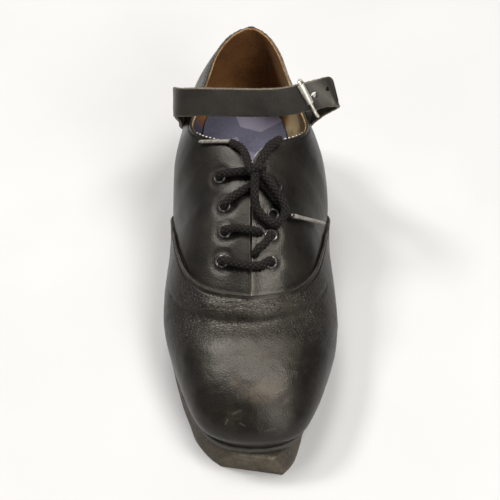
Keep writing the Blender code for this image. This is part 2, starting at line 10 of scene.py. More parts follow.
import bpy
import numpy as np
from mathutils import Matrix, Vector, kdtree, noise


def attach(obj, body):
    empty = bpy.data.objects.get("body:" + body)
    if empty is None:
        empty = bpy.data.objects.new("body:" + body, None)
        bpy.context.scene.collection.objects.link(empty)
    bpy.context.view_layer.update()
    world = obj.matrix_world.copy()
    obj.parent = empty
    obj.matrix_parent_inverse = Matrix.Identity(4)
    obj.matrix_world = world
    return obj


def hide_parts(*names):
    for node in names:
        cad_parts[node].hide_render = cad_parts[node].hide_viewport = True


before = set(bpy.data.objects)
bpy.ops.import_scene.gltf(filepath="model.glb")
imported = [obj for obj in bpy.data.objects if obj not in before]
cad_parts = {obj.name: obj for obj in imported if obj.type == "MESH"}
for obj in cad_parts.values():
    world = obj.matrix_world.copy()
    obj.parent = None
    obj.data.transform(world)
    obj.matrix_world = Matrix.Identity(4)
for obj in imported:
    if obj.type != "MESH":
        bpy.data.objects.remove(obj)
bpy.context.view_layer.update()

print("solid nodes:", len(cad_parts))

# %% [markdown]
# The camera stands in front of the toe and looks down at half a right angle and a little more. A
# short lens close by would swell the toe. A long lens from farther away keeps the heel from
# shrinking, as in the picture of the real shoe, so that is chosen.

# %% Camera
SHIFT = np.array([-1.2, -2.2, 0.0])
CAMERA_ELEVATION, CAMERA_DISTANCE, CAMERA_LENS = 50.0, 0.75, 90.9


def metres(points):
    """Points of the last, in millimetres, as points of the scene in metres."""
    return (np.asarray(points, float) + SHIFT) * 0.001


def added(operator, name, **options):
    """Run an operator that adds an object, with nothing else selected, and name what it makes."""
    bpy.ops.object.select_all(action="DESELECT")
    operator(**options)
    made = bpy.context.object
    made.name = made.data.name = name
    return made


elevation = math.radians(CAMERA_ELEVATION)
back = Vector((0.0, -math.cos(elevation), math.sin(elevation)))
camera = added(bpy.ops.object.camera_add, "camera")
camera.location = Vector(metres((0.0, 0.0, 40.0))) + CAMERA_DISTANCE * back
camera.rotation_euler = back.to_track_quat("Z", "Y").to_euler()
camera.data.lens = CAMERA_LENS
camera.data.sensor_width = 36.0
bpy.context.scene.camera = camera
print("camera height", round(camera.location.z, 3))

# %% [markdown]
# Black leather shows its form only by what it mirrors, so each soft lamp stands where one part
# of the shoe mirrors it to the camera: over the toe, over the instep, at the side for the streak
# on the toe, and two at the front for the strap. The floor is a mid grey under strong light,
# and so it looks pale.

# %% Floor and light
def lamp(name, place, aim, size, power, tint=(1.0, 1.0, 1.0)):
    made = added(bpy.ops.object.light_add, name, type="AREA", location=place)
    made.rotation_euler = (Vector(place) - Vector(aim)).to_track_quat("Z", "Y").to_euler()
    made.data.size = size
    made.data.energy = power
    made.data.color = tint


floor = added(bpy.ops.mesh.primitive_plane_add, "floor", size=6.0)
lamp("lamp_toe", (-0.2, 0.5, 2.1), (0.0, -0.06, 0.05), 0.75, 24.0, (1.0, 0.98, 0.95))
lamp("lamp_instep", (0.72, -0.22, 2.0), (0.0, -0.02, 0.06), 0.75, 27.0, (1.0, 0.98, 0.95))
lamp("lamp_streak", (-1.1, 0.5, 1.75), (0.0, -0.06, 0.05), 0.4, 24.0)
lamp("lamp_front", (1.0, -1.6, 1.5), (0.0, 0.0, 0.07), 0.8, 16.0)
lamp("lamp_low", (1.1, -2.1, 0.55), (0.0, 0.0, 0.1), 0.8, 9.0)
world = bpy.data.worlds.new("room")
bpy.context.scene.world = world
world.use_nodes = True
room = world.node_tree.nodes["Background"].inputs
room["Color"].default_value = (1.0, 0.995, 0.985, 1.0)
room["Strength"].default_value = 0.15
bpy.context.scene.view_settings.view_transform = "Standard"

# %% [markdown]
# A shoe's upper takes its form from a last. It could be sculpted, but here it is drawn as half
# sections round the last, one row of a table each, from heel to toe. A half section starts at the
# sole, leans out, and comes in to its top edge. Reading the table along a smooth curve gives any
# point of the leather from two numbers: the section, and the share of the way up it. This way was
# chosen because panels, lining, laces and stitches can then all be laid on one surface.

# %% The last
FEATHER = (
    # y, height of the line where upper and sole meet
    (140.0, 41.5), (99.0, 41.0), (72.0, 40.0), (40.0, 33.0), (22.0, 27.0), (5.0, 21.5), (-8.0, 18.3),
    (-28.0, 15.4), (-48.0, 14.5), (-70.0, 15.3), (-92.0, 17.0), (-110.0, 18.8), (-135.0, 20.5),
)
SECTION_COLUMNS = (
    "foot_in", "foot_out", "foot_y", "lean_in", "lean_out", "lean_y", "lean_up",
    "top_mid", "top_half", "top_y", "top_z", "hug_in", "hug_out", "hug_y", "hug_up",
)
SECTIONS = (
    (3.5, -3.5, 128.0, 0.0, 0.0, 10.0, 18.0, 0.3, 0.0, 126.0, 105.0, 0.0, 0.0, 6.0, -24.0),  # heel back
    (18.0, 10.0, 124.1, 8.0, 2.0, 8.0, 18.0, -0.6, 11.2, 122.0, 102.0, 8.0, 0.0, 5.0, -22.0),
    (28.5, 20.0, 113.5, 12.0, 4.0, 5.0, 18.0, -1.3, 19.7, 112.5, 96.0, 10.5, 1.0, 3.0, -20.0),
    (32.5, 25.0, 99.0, 13.0, 8.0, 1.0, 18.0, -1.2, 25.0, 98.0, 90.5, 11.0, 3.5, 0.0, -18.0),  # heel side
    (33.0, 29.5, 72.0, 16.0, 14.0, 0.0, 18.0, -0.6, 31.5, 75.0, 86.5, 10.0, 7.0, 0.0, -17.0),  # quarter
    (34.5, 34.5, 42.0, 19.0, 19.0, 0.0, 18.0, -0.5, 35.0, 55.0, 88.5, 9.0, 8.0, 0.0, -16.0),  # waist
    (37.5, 38.5, 22.0, 18.0, 18.0, 0.0, 19.0, 0.0, 28.0, 42.5, 93.0, 14.0, 13.0, 0.0, -12.0),  # collar
    (40.5, 41.0, 5.0, 17.0, 17.0, 0.0, 20.0, 0.0, 10.5, 32.0, 96.5, 23.0, 22.0, 0.0, -4.0),  # throat corner
    (42.5, 43.0, -8.0, 17.0, 16.0, 0.0, 21.0, 0.4, 0.8, 17.0, 94.0, 28.0, 27.0, 0.0, -2.0),
    (44.5, 44.5, -28.0, 17.5, 17.0, 0.0, 21.0, 0.6, 0.7, -17.0, 80.0, 31.0, 30.0, 0.0, -1.0),  # throat middle
    (44.2, 45.0, -48.0, 17.5, 18.0, 0.0, 20.0, 0.6, 0.0, -50.5, 64.0, 32.0, 31.0, 0.0, 0.0),  # throat bottom
    (40.6, 42.5, -69.0, 14.0, 16.0, 0.0, 20.0, 1.2, 0.0, -77.0, 55.5, 31.0, 31.0, 0.0, 0.0),  # vamp
    (34.6, 37.0, -90.5, 10.0, 11.5, -4.0, 17.0, 2.4, 0.0, -101.5, 49.5, 27.0, 27.0, 2.0, 0.0),  # toe box
    (30.0, 32.6, -101.5, 7.0, 8.0, -9.0, 13.5, 3.4, 0.0, -116.6, 41.0, 23.0, 22.0, 1.0, 0.0),
    (27.6, 30.4, -105.8, 2.5, 3.0, -12.0, 7.5, 3.8, 0.0, -124.6, 29.5, 19.0, 18.0, 0.5, 0.0),
    (26.0, 29.0, -108.4, -4.0, -3.6, -9.0, 1.0, 3.8, 0.0, -123.2, 19.7, 15.0, 13.0, 0.0, 0.0),  # toe front
)
LAST_ROW = len(SECTIONS) - 1
THROAT_BOTTOM, THROAT_LEAST = 10.0, 0.25


def smooth_rows(rows, spots, first=None):
    """Rows of a table read at the row numbers in spots, along a smooth curve."""
    rows = np.asarray(rows, float)
    before = 2 * rows[0] - rows[1] if first is None else first
    full = np.vstack([before, rows, 2 * rows[-1] - rows[-2]])
    spots = np.asarray(spots, float)
    k = np.clip(np.floor(spots).astype(int), 0, len(rows) - 2)
    t = (spots - k)[:, None]
    a, b, c, d = full[k], full[k + 1], full[k + 2], full[k + 3]
    curve = 2 * b + (c - a) * t + (2 * a - 5 * b + 4 * c - d) * t**2 + (3 * b - a - 3 * c + d) * t**3
    return 0.5 * curve


def run_of(line):
    """How far along a line each of its points lies."""
    return np.concatenate([[0.0], np.cumsum(np.linalg.norm(np.diff(line, axis=0), axis=1))])


def unit(ways):
    """The same directions with a length of one."""
    return ways / np.linalg.norm(ways, axis=-1, keepdims=True)


def flat_lists(*values):
    """Numbers or lists of them as lists of one length."""
    return (np.asarray(v, float).ravel() for v in np.broadcast_arrays(*values))


def feather_height(y):
    """Height of the line where upper and sole meet."""
    table = np.asarray(FEATHER[::-1], float)
    ys, zs = table[:, 0], table[:, 1]
    slope = np.gradient(zs, ys)
    y = np.clip(np.asarray(y, float), ys[0], ys[-1])
    k = np.clip(np.searchsorted(ys, y) - 1, 0, len(ys) - 2)
    h = ys[k + 1] - ys[k]
    t = (y - ys[k]) / h
    rise = (1 + 2 * t) * (1 - t) ** 2 * zs[k] + t * (1 - t) ** 2 * h * slope[k]
    return rise + t**2 * (3 - 2 * t) * zs[k + 1] + t**2 * (t - 1) * h * slope[k + 1]


def heel_mirror():
    """The row before the heel back: the next row seen in a mirror."""
    row = dict(zip(SECTION_COLUMNS, SECTIONS[1]))
    turned = dict(row, top_half=-row["top_half"])
    for part in ("foot", "lean", "hug"):
        turned[part + "_in"], turned[part + "_out"] = -row[part + "_out"], -row[part + "_in"]
    return np.array([turned[name] for name in SECTION_COLUMNS])


def leather(side, section, share, slit=True):
    """Points of the upper's outer face. side is -1 on the inner half and +1 on the outer half."""
    side, section, share = flat_lists(side, section, share)
    read = smooth_rows(SECTIONS, section, heel_mirror())
    col = {name: read[:, i] for i, name in enumerate(SECTION_COLUMNS)}

    def flank(part):
        return side * np.where(side < 0, col[part + "_in"], col[part + "_out"])

    gap = np.maximum(col["top_half"], THROAT_LEAST if slit else 0.0)
    gap = np.where((section > 1e-9) & (section < THROAT_BOTTOM - 1e-9), gap, 0.0)
    foot = np.stack([flank("foot"), col["foot_y"], feather_height(col["foot_y"])], 1)
    top = np.stack([col["top_mid"] + side * gap, col["top_y"], col["top_z"]], 1)
    lean = foot + np.stack([flank("lean"), col["lean_y"], col["lean_up"]], 1)
    hug = top + np.stack([flank("hug"), col["hug_y"], col["hug_up"]], 1)
    t = share[:, None]
    return foot * (1 - t) ** 3 + 3 * lean * t * (1 - t) ** 2 + 3 * hug * t**2 * (1 - t) + top * t**3


def outward(side, section, share):
    """Directions out of the leather at the same spots."""
    side, section, share = flat_lists(side, section, share)
    e = 0.006
    ahead = leather(side, np.minimum(section + e, LAST_ROW), share, False)
    ahead = ahead - leather(side, np.maximum(section - e, 0.0), share, False)
    up = leather(side, section, np.minimum(share + e, 1.0), False)
    up = up - leather(side, section, np.maximum(share - e, 0.0), False)
    way = np.cross(up, ahead) * side[:, None]
    return way / np.maximum(np.linalg.norm(way, axis=1, keepdims=True), 1e-9)


def laid(side, section, share):
    """Points of the leather and the directions out of it."""
    return leather(side, section, share), outward(side, section, share)


all_sections, all_shares = np.linspace(0, LAST_ROW, 12 * LAST_ROW + 1), np.linspace(0, 1, 61)
half = [spots.ravel() for spots in np.meshgrid(all_sections, all_shares, indexing="ij")]
skin_points, skin_ways = (np.concatenate(two) for two in zip(laid(-1.0, *half), laid(1.0, *half)))
print("the last reaches from", skin_points.min(0).round(1), "to", skin_points.max(0).round(1))

# %% [markdown]
# A lace or strap lies on the leather. A Shrinkwrap modifier could press it on, but it would also
# flatten it, so the height is read from the nearest points of the last, each counting more the
# nearer it is.

# %% Helpers to seat a piece on the leather
def seat_read(at, axes, keep):
    """A point of the leather and the way out of it, read where the two given axes have these values."""
    away = np.linalg.norm(skin_points[:, axes] - np.asarray(at), axis=1) + 1e-6
    away = np.where(keep, away, 1e9)
    near = np.argpartition(away, 6)[:6]
    share = 1.0 / away[near] ** 2
    share /= share.sum()
    return share @ skin_points[near], unit(share @ skin_ways[near])


def from_above(x, y):
    """Point of the instep under (x, y), and the way out of the leather there."""
    return seat_read((x, y), [0, 1], skin_ways[:, 2] > 0.12)


def from_side(side, y, z):
    """Point of one flank beside (y, z), and the way out of the leather there."""
    return seat_read((y, z), [1, 2], skin_points[:, 0] * side > 2.0)


def lifted(x, y, lift):
    """A point above the instep."""
    point, way = from_above(x, y)
    return point + lift * way


def smooth_line(points, step):
    """A smooth line through a few points, with a point about every step millimetres."""
    points = np.asarray(points, float)
    fine = smooth_rows(points, np.linspace(0, len(points) - 1, 60 * len(points)))
    run = run_of(fine)
    spots = np.linspace(0.0, run[-1], max(2, int(round(run[-1] / step)) + 1))
    return np.stack([np.interp(spots, run, fine[:, i]) for i in range(3)], 1)


print("instep height at the knot", lifted(3.0, 11.6, 0.0).round(1))

# %% [markdown]
# Most pieces start as a grid whose points are then laid on the shoe. In edit mode the grid is
# welded, closed or turned over, and modifiers give it thickness. Helpers for this keep the later
# cells short.

# %% Helpers to model with
WELD = 0.00001


def only(piece):
    """Select one piece and make it the active one."""
    if bpy.context.object and bpy.context.object.mode != "OBJECT":
        bpy.ops.object.mode_set(mode="OBJECT")
    bpy.ops.object.select_all(action="DESELECT")
    piece.select_set(True)
    bpy.context.view_layer.objects.active = piece


def apply_all(piece):
    """Apply every modifier of a piece."""
    only(piece)
    for step in list(piece.modifiers):
        bpy.ops.object.modifier_apply(modifier=step.name)


def in_edit(piece, *steps):
    """Run mesh operators on the whole of a piece in edit mode."""
    only(piece)
    bpy.ops.object.mode_set(mode="EDIT")
    bpy.ops.mesh.select_all(action="SELECT")
    for step, options in steps:
        step(**options)
    bpy.ops.object.mode_set(mode="OBJECT")


def close_up(piece):
    """Weld a rolled-up grid where its sides meet, and close its ends."""
    in_edit(
        piece,
        (bpy.ops.mesh.remove_doubles, {"threshold": WELD}),
        (bpy.ops.mesh.fill_holes, {"sides": 0}),
        (bpy.ops.mesh.normals_make_consistent, {"inside": False}),
    )


def panel(name, across, along, place, flip=False):
    """A grid of cells whose points are laid where place(u, v) says, u and v going from 0 to 1."""
    cells_each_way = {"x_subdivisions": across, "y_subdivisions": along}
    piece = added(bpy.ops.mesh.primitive_grid_add, name, size=1.0, **cells_each_way)
    flat = np.empty(3 * len(piece.data.vertices))
    piece.data.vertices.foreach_get("co", flat)
    u = np.round((flat[0::3] + 0.5) * across) / across
    v = np.round((flat[1::3] + 0.5) * along) / along
    piece.data.vertices.foreach_set("co", metres(place(u, v)).ravel())
    piece.data.update()
    if flip:
        in_edit(piece, (bpy.ops.mesh.flip_normals, {}))
    return piece


def mark(piece, **kept):
    """Keep numbers for each point of a piece, for its finish to read."""
    for name, values in kept.items():
        layer = piece.data.attributes.new(name, "FLOAT", "POINT")
        layer.data.foreach_set("value", np.asarray(values, np.float32).ravel())


def wall(piece, thickness):
    """Give a panel its thickness, on the side away from its face."""
    step = piece.modifiers.new("wall", "SOLIDIFY")
    step.thickness = thickness * 0.001
    step.offset = -1.0
    apply_all(piece)


def smooth(piece, degrees=50.0):
    """Shade a piece smooth, but keep edges that are sharper than this."""
    only(piece)
    bpy.ops.object.shade_smooth_by_angle(angle=math.radians(degrees))


def belongs(piece, slot, *nodes):
    """The piece rides on the shoe and stands for these solid nodes, which are hidden; slot is not used."""
    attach(piece, "root")
    if nodes:
        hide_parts(*nodes)
    print(piece.name, "triangles", sum(len(p.vertices) - 2 for p in piece.data.polygons))


def clouds(points, size, seed):
    """A soft number between -1 and 1 for each point, changing over about size millimetres."""
    move = Vector((seed * 7.31, seed * 3.17, seed * 5.53))
    return np.array([noise.noise(Vector(p) / size + move) for p in points])


def nearness(points, line):
    """Distance of each point from a line of points, and how far along the line, 0 to 1."""
    tree = kdtree.KDTree(len(line))
    for i, p in enumerate(line):
        tree.insert(p, i)
    tree.balance()
    found = [tree.find(p) for p in points]
    return np.array([f[2] for f in found]), np.array([f[1] for f in found]) / (len(line) - 1)


def rise(x, low, high):
    """0 below low, 1 above high and an even curve between."""
    t = np.clip((np.asarray(x, float) - low) / (high - low), 0.0, 1.0)
    return t * t * (3 - 2 * t)


def bell(x, width):
    """1 at zero, falling off to both sides over about width."""
    return np.exp(-((x / width) ** 2))


print("smallest weld in metres", WELD)

# %% [markdown]
# A round lace is a tube of braided strands. Each strand winds round the tube one way or the other
# and dips over and under. A smooth tube with a bumpy finish would have a smooth outline, so the
# braid is a grid rolled up along the lace's line, each point raised where a strand lies on top.
# Then the outline and the shadows show the weave.

# %% The braid
LACE_RADIUS, LACE_STRANDS, LACE_PITCH = 2.4, 5, 3.0
LACE_RING, LACE_STEP = 48, 0.36


def carried_frame(line):
    """Two directions across a line, carried along it without twist."""
    way = unit(np.gradient(line, axis=0))
    across = [unit(np.cross(way[0], (0.31, 0.52, 0.8)))]
    for w in way[1:]:
        across.append(unit(across[-1] - w * (across[-1] @ w)))
    across = np.array(across)
    return across, np.cross(way, across)


def rolled(name, ring, line, size):
    """A tube along a line. size(u, i) is its radius at a share u of the way round row i."""
    across, beside = carried_frame(line)
    rows = len(line) - 1

    def place(u, v):
        i, angle = np.round(v * rows).astype(int), 2 * np.pi * u
        ray = np.cos(angle)[:, None] * across[i] + np.sin(angle)[:, None] * beside[i]
        return line[i] + size(u, i)[:, None] * ray

    return panel(name, ring, rows, place)


def strand_height(turn, run):
    """How far a strand stands up at an angle round the lace and a length along it, 0 to 1."""
    a = LACE_STRANDS * turn + run / LACE_PITCH
    b = LACE_STRANDS * turn - run / LACE_PITCH
    over = np.mod(np.round(a) + np.round(b), 2) < 0.5
    a, b = np.cos(np.pi * (a - np.round(a))), np.cos(np.pi * (b - np.round(b)))
    return np.where(over, np.sqrt(a) * (0.45 + 0.55 * b), np.sqrt(b) * (0.45 + 0.55 * a))


laces = []


def braid(node, route):
    """A braided lace along a smooth line through the route's points."""
    line = smooth_line(route, LACE_STEP)
    run = run_of(line)
    kept = {}

    def size(u, i):
        kept.update(strand=strand_height(u, run[i]))
        return LACE_RADIUS * (0.66 + 0.37 * kept["strand"])

    piece = rolled(node + "_braid", LACE_RING, line, size)
    mark(piece, **kept)
    close_up(piece)
    smooth(piece, 70.0)
    belongs(piece, "lace_braid", node)
    laces.append(piece)
    return piece, line, run[-1]


print("strands each way", LACE_STRANDS, "pitch", LACE_PITCH)

# %% [markdown]
# Five lengths lie on the instep and dive into eyelets or into the closed throat. Straight tubes
# from hole to hole would seem to float. So where a length comes out of an eyelet it rises straight
# out of the hole and bends over. The route's points are x, y and height above the leather, as in
# the solid model.

# %% Laces on the instep
EYELETS = (
    # row, inner y, inner x, outer y, outer x
    ("1", 14.6, 17.0, 8.6, 14.8), ("2", -3.6, 14.2, -8.4, 13.2),
    ("3", -17.8, 14.2, -20.2, 11.8), ("4", -33.0, 15.8, -34.4, 11.4),
)
EYELET_SPOTS = {}
for row, inner_y, inner_x, outer_y, outer_x in EYELETS:
    EYELET_SPOTS[row + "_inner"] = (-inner_x, inner_y)
    EYELET_SPOTS[row + "_outer"] = (outer_x, outer_y)


def out_of_eyelet(name, towards):
    """Points of a lace that rises out of an eyelet and leans towards a spot."""
    x, y = EYELET_SPOTS[name]
    lean = unit(np.array(towards) - (x, y))
    return [(x, y, -5.0), (x, y, -1.5), (x, y, 1.6), (x + 1.6 * lean[0], y + 1.6 * lean[1], 3.9)]


def diving(x, y, way_x, way_y):
    """Points of a lace that dips into the throat or under another lace."""
    return [(x + far * way_x, y + far * way_y, up) for far, up in ((0.0, 3.0), (2.6, 1.4), (3.6, -2.5))]


LACE_BARS = {
    "lace_bar_4": out_of_eyelet("4_inner", (0.0, -35.6))
    + [(-8.0, -35.4, 3.2), (-2.0, -36.8, 3.0), (5.0, -37.0, 3.1)]
    + out_of_eyelet("4_outer", (0.0, -36.0))[::-1],
    "lace_bar_3_inner": out_of_eyelet("3_inner", (0.0, -18.0))
    + [(-7.0, -17.8, 3.2), (-1.0, -18.6, 3.2)] + diving(2.4, -19.0, 0.98, -0.15),
    "lace_bar_3_outer": out_of_eyelet("3_outer", (6.0, -26.5))
    + [(8.4, -24.6, 3.3), (6.0, -27.2, 3.2)] + diving(4.6, -28.6, -0.6, -0.8),
    "lace_bar_2": out_of_eyelet("2_inner", (0.0, 4.0))
    + [(-8.0, 0.0, 3.2), (-3.4, 2.6, 3.2)] + diving(-0.6, 4.2, 0.85, 0.5),
    "lace_bar_1": out_of_eyelet("1_inner", (0.0, 12.6))
    + [(-9.0, 13.6, 3.2), (-3.0, 13.0, 3.6), (3.0, 12.2, 3.6), (8.0, 11.0, 3.5)]
    + out_of_eyelet("1_outer", (6.0, 11.4))[::-1],
}
for name, route in LACE_BARS.items():
    braid(name, [lifted(*spot) for spot in route])

# %% [markdown]
# The bow's knot could be a ball, but then no strand would cross another, so it is a short wrap of the same
# lace round the middle of the bow. Two loops and two ends leave it, and each prints its length. The ends wear
# thin stiff tips.

# %% Bow
KNOT = (3.0, 11.6, 9.8)
knot_middle, knot_up = lifted(*KNOT), from_above(KNOT[0], KNOT[1])[1]
knot_ahead = unit(np.cross((1.0, 0.0, 0.0), knot_up))
knot_side = np.cross(knot_up, knot_ahead)
wrap = []
for k in range(15):
    turn = 2 * math.pi * k / 12 - 1.9
    wrap.append(knot_middle + 3.1 * math.cos(turn) * knot_side + 2.1 * math.sin(turn) * knot_up
                + (0.35 * k - 2.4) * knot_ahead)
braid("lace_knot", wrap)

LACE_ENDS = {
    "lace_loop_down": (
        (2.4, 10.6, 9.4), (2.0, 6.6, 9.4), (2.2, -1.0, 7.8), (3.4, -7.4, 5.6), (6.8, -12.6, 5.0),
        (11.6, -14.6, 5.0), (16.0, -12.0, 5.8), (16.2, -5.4, 8.4), (12.4, 1.0, 8.8), (7.6, 7.2, 9.4),
        (4.6, 10.8, 9.6),
    ),
    "lace_loop_up": (
        (3.0, 13.0, 9.8), (4.6, 17.4, 10.0), (7.4, 22.6, 9.2), (10.4, 27.4, 8.4), (13.2, 31.2, 7.2),
        (15.2, 33.6, 4.8), (13.6, 33.0, 2.9), (10.8, 29.8, 2.9), (8.2, 25.6, 3.4), (6.2, 20.6, 4.4),
        (5.0, 16.0, 6.0), (4.4, 12.8, 7.8),
    ),
    "lace_end_inner": (
        (4.4, 9.6, 8.0), (1.4, 10.6, 9.4), (-0.4, 13.6, 9.8), (-1.2, 20.0, 7.8), (-3.2, 26.2, 5.4),
        (-6.8, 31.0, 3.4), (-9.4, 32.6, 2.8),
    ),
    "lace_end_outer": (
        (-1.0, 13.4, 6.2), (2.4, 10.4, 5.4), (7.4, 5.2, 3.4), (12.0, 1.0, 3.1), (16.8, -3.0, 3.1),
        (20.0, -6.2, 3.1), (22.6, -7.2, 3.3),
    ),
}
AGLETS = {
    "aglet_inner": ((-7.8, 31.8, 3.1), (-10.8, 33.2, 2.8), (-28.5, 39.4, 2.3)),
    "aglet_outer": ((20.8, -6.8, 3.2), (24.0, -6.6, 3.5), (40.0, 2.4, 4.0)),
}
AGLET_PROFILE = (
    # share of its length, radius
    (0.0, 1.5), (0.1, 1.45), (0.2, 1.25), (0.3, 1.15), (0.93, 1.1), (0.97, 0.9), (1.0, 0.5),
)


def aglet(name, route):
    """A thin tip on a lace: wide where the braid goes in, crimped, and rounded at its end."""
    line = smooth_line([lifted(*spot) for spot in route], 0.6)
    sizes = np.interp(np.linspace(0, 1, len(line)), *zip(*AGLET_PROFILE))
    piece = rolled(name + "_tip", 20, line, lambda u, i: sizes[i] * (1 + 0.06 * np.cos(4 * np.pi * u)))
    close_up(piece)
    smooth(piece)
    belongs(piece, "aglet_plastic", name)
    return piece


aglets = {name: aglet(name, route) for name, route in AGLETS.items()}
for name, route in LACE_ENDS.items():
    piece, line, length = braid(name, [lifted(*spot) for spot in route])
    tip = aglets.get(name.replace("lace_end", "aglet"))
    tuple(metres(line[0]))
    metres(line)
    print(name, "length in millimetres", round(length, 1))

# %% [markdown]
# The vamp is the front panel. Its rear edge is a deep U that laps over the two quarters, and a row
# of stitches follows it. The edge could be cut with a Boolean modifier, but that leaves ragged
# cells. Here a table gives the section at each share of the way up, and the grid of the vamp simply
# starts there.

# %% The vamp's edge
SEAM = (
    # share, section
    (0.0, 5.15), (0.1, 5.35), (0.2, 5.75), (0.285, 6.35), (0.33, 7.0), (0.367, 7.75), (0.442, 8.43),
    (0.508, 8.85), (0.567, 9.25), (0.633, 9.55), (0.729, 9.83), (0.833, 9.98), (0.925, 10.05),
    (1.0, 10.08),
)
seam_fine = smooth_rows(SEAM, np.linspace(0, len(SEAM) - 1, 400))


def seam_section(share):
    """The section where the vamp's edge lies at a share of the way up."""
    return np.interp(share, seam_fine[:, 0], seam_fine[:, 1])


def seam_line(side):
    return leather(side, seam_fine[:, 1], seam_fine[:, 0])


both_seams = np.vstack([seam_line(-1), seam_line(1)[::-1]])
seam_run = run_of(seam_line(1))
print("edge of the vamp, length", round(run_of(both_seams)[-1], 1))


def even_shares(amount):
    """Shares from 0 to 1 that are close together where the vamp's edge runs along the shoe."""
    run = 0.5 * seam_run / seam_run[-1] + 0.5 * seam_fine[:, 0]
    return np.interp(amount, run, seam_fine[:, 0])


# %% [markdown]
# Years of dancing have folded the vamp across the ball of the foot. Noise would spread wrinkles evenly, so
# the folds are placed one by one, each a soft trough along a short line: section and place round the shoe,
# where -1 is the inner edge of the sole, 0 the crest and 1 the outer edge. Depth below zero makes a ridge.
# The main fold is steep on the side of the instep, where the leather hangs over, and gentle on the side of
# the toe.

# %% Folds and marks of the vamp
MAIN_FOLD = (
    # section, place round
    (9.6, -0.64), (10.1, -0.454), (10.38, -0.30), (10.56, -0.138), (10.6, 0.0),
    (10.58, 0.08), (10.5, 0.162), (10.3, 0.296), (10.03, 0.42), (9.8, 0.52),
)
MAIN_DEPTH, MAIN_STEEP, MAIN_GENTLE = 3.0, 2.6, 9.0
FOLDS = (
    # depth, width, then section and place round
    (-1.2, 5.0, (9.9, -0.42), (10.16, -0.28), (10.3, -0.12), (10.33, 0.02), (10.26, 0.16),
     (10.04, 0.32)),
    (0.24, 0.9, (9.9, -0.44), (10.14, -0.36), (10.22, -0.25), (10.31, -0.18)),
    (0.22, 0.7, (10.24, -0.22), (10.33, -0.13), (10.29, -0.06), (10.36, 0.02)),
    (0.2, 0.7, (10.13, -0.18), (10.2, -0.11), (10.16, -0.03), (10.22, 0.05)),
    (0.2, 0.7, (10.38, 0.0), (10.34, 0.09), (10.36, 0.15), (10.24, 0.22)),
    (0.2, 0.7, (10.19, 0.1), (10.22, 0.17), (10.1, 0.26), (9.98, 0.34)),
    (0.24, 0.9, (10.3, 0.2), (10.2, 0.29), (10.08, 0.36), (9.94, 0.44)),
    (0.26, 1.0, (9.7, -0.48), (9.92, -0.41), (10.06, -0.35)),
    (0.3, 1.2, (9.5, -0.60), (9.75, -0.54), (9.95, -0.47)),
    (0.26, 1.1, (9.3, -0.62), (9.55, -0.58), (9.76, -0.52)),
    (0.28, 1.2, (9.5, 0.54), (9.75, 0.48), (9.95, 0.42)),
    (0.26, 1.1, (9.3, 0.56), (9.55, 0.52), (9.8, 0.46)),
    (0.2, 0.8, (10.48, -0.30), (10.42, -0.36), (10.3, -0.44)),
    (0.3, 2.2, (10.95, 0.34), (10.75, 0.44), (10.45, 0.52)),
)
RUBS = (
    # amount, radius in millimetres, section, place round
    (0.9, 5.0, 12.25, -0.02), (0.8, 5.5, 12.22, 0.07), (0.55, 4.5, 12.12, 0.17),
    (0.5, 4.0, 12.05, -0.14), (0.4, 9.0, 10.3, -0.16), (0.45, 9.0, 10.32, 0.06),
    (0.35, 8.0, 10.15, 0.24), (0.3, 14.0, 11.2, -0.16), (0.25, 16.0, 11.3, 0.1),
    (0.3, 8.0, 12.7, 0.2), (0.3, 6.0, 13.2, -0.22),
)
SCRATCHES = (
    # depth of tone, then section and place round
    (0.5, (13.4, -0.29), (13.24, -0.265), (13.1, -0.235)),
    (0.35, (13.26, -0.15), (13.32, -0.115), (13.4, -0.09)),
    (0.5, (13.0, -0.2), (12.88, -0.155), (12.8, -0.10)),
    (0.35, (12.5, -0.13), (12.4, -0.125), (12.28, -0.13)),
    (0.3, (12.32, 0.14), (12.2, 0.19), (12.12, 0.26)),
    (0.3, (12.66, 0.21), (12.56, 0.235), (12.44, 0.27)),
    (0.35, (13.6, 0.06), (13.52, 0.12), (13.46, 0.2)),
    (0.3, (11.9, -0.3), (11.8, -0.34), (11.62, -0.36)),
)
SCRATCH_WIDTH = 0.36


def round_line(spots):
    """A smooth line on the leather through spots given by section and place round the shoe."""
    fine = smooth_rows(spots, np.linspace(0, len(spots) - 1, 25 * len(spots)))
    return leather(np.where(fine[:, 1] < 0, -1.0, 1.0), fine[:, 0], 1 - np.abs(fine[:, 1]))


def along_lines(points, rows, reach):
    """For each row, the points near its line: which, how far off, and a share that fades at the ends."""
    for row in rows:
        line = round_line(row)
        low, high = line.min(0) - reach, line.max(0) + reach
        near = np.flatnonzero(np.all((points > low) & (points < high), axis=1))
        away, run = nearness(points[near], line)
        yield near, away, rise(run, 0.0, 0.22) * rise(1 - run, 0.0, 0.22)


print("folds", len(FOLDS), "rubs", len(RUBS), "scratches", len(SCRATCHES))

# %% [markdown]
# The vamp is a fine grid laid on the last and lifted by a few numbers: it swells towards its edge,
# a groove holds the stitches, and the folds sink in. Sculpting could do this too, but numbers can
# be changed one at a time. Rubs and scratches are kept for the finish.

# %% Vamp
VAMP_ACROSS, VAMP_ALONG, LEATHER_WALL = 220, 200, 1.1


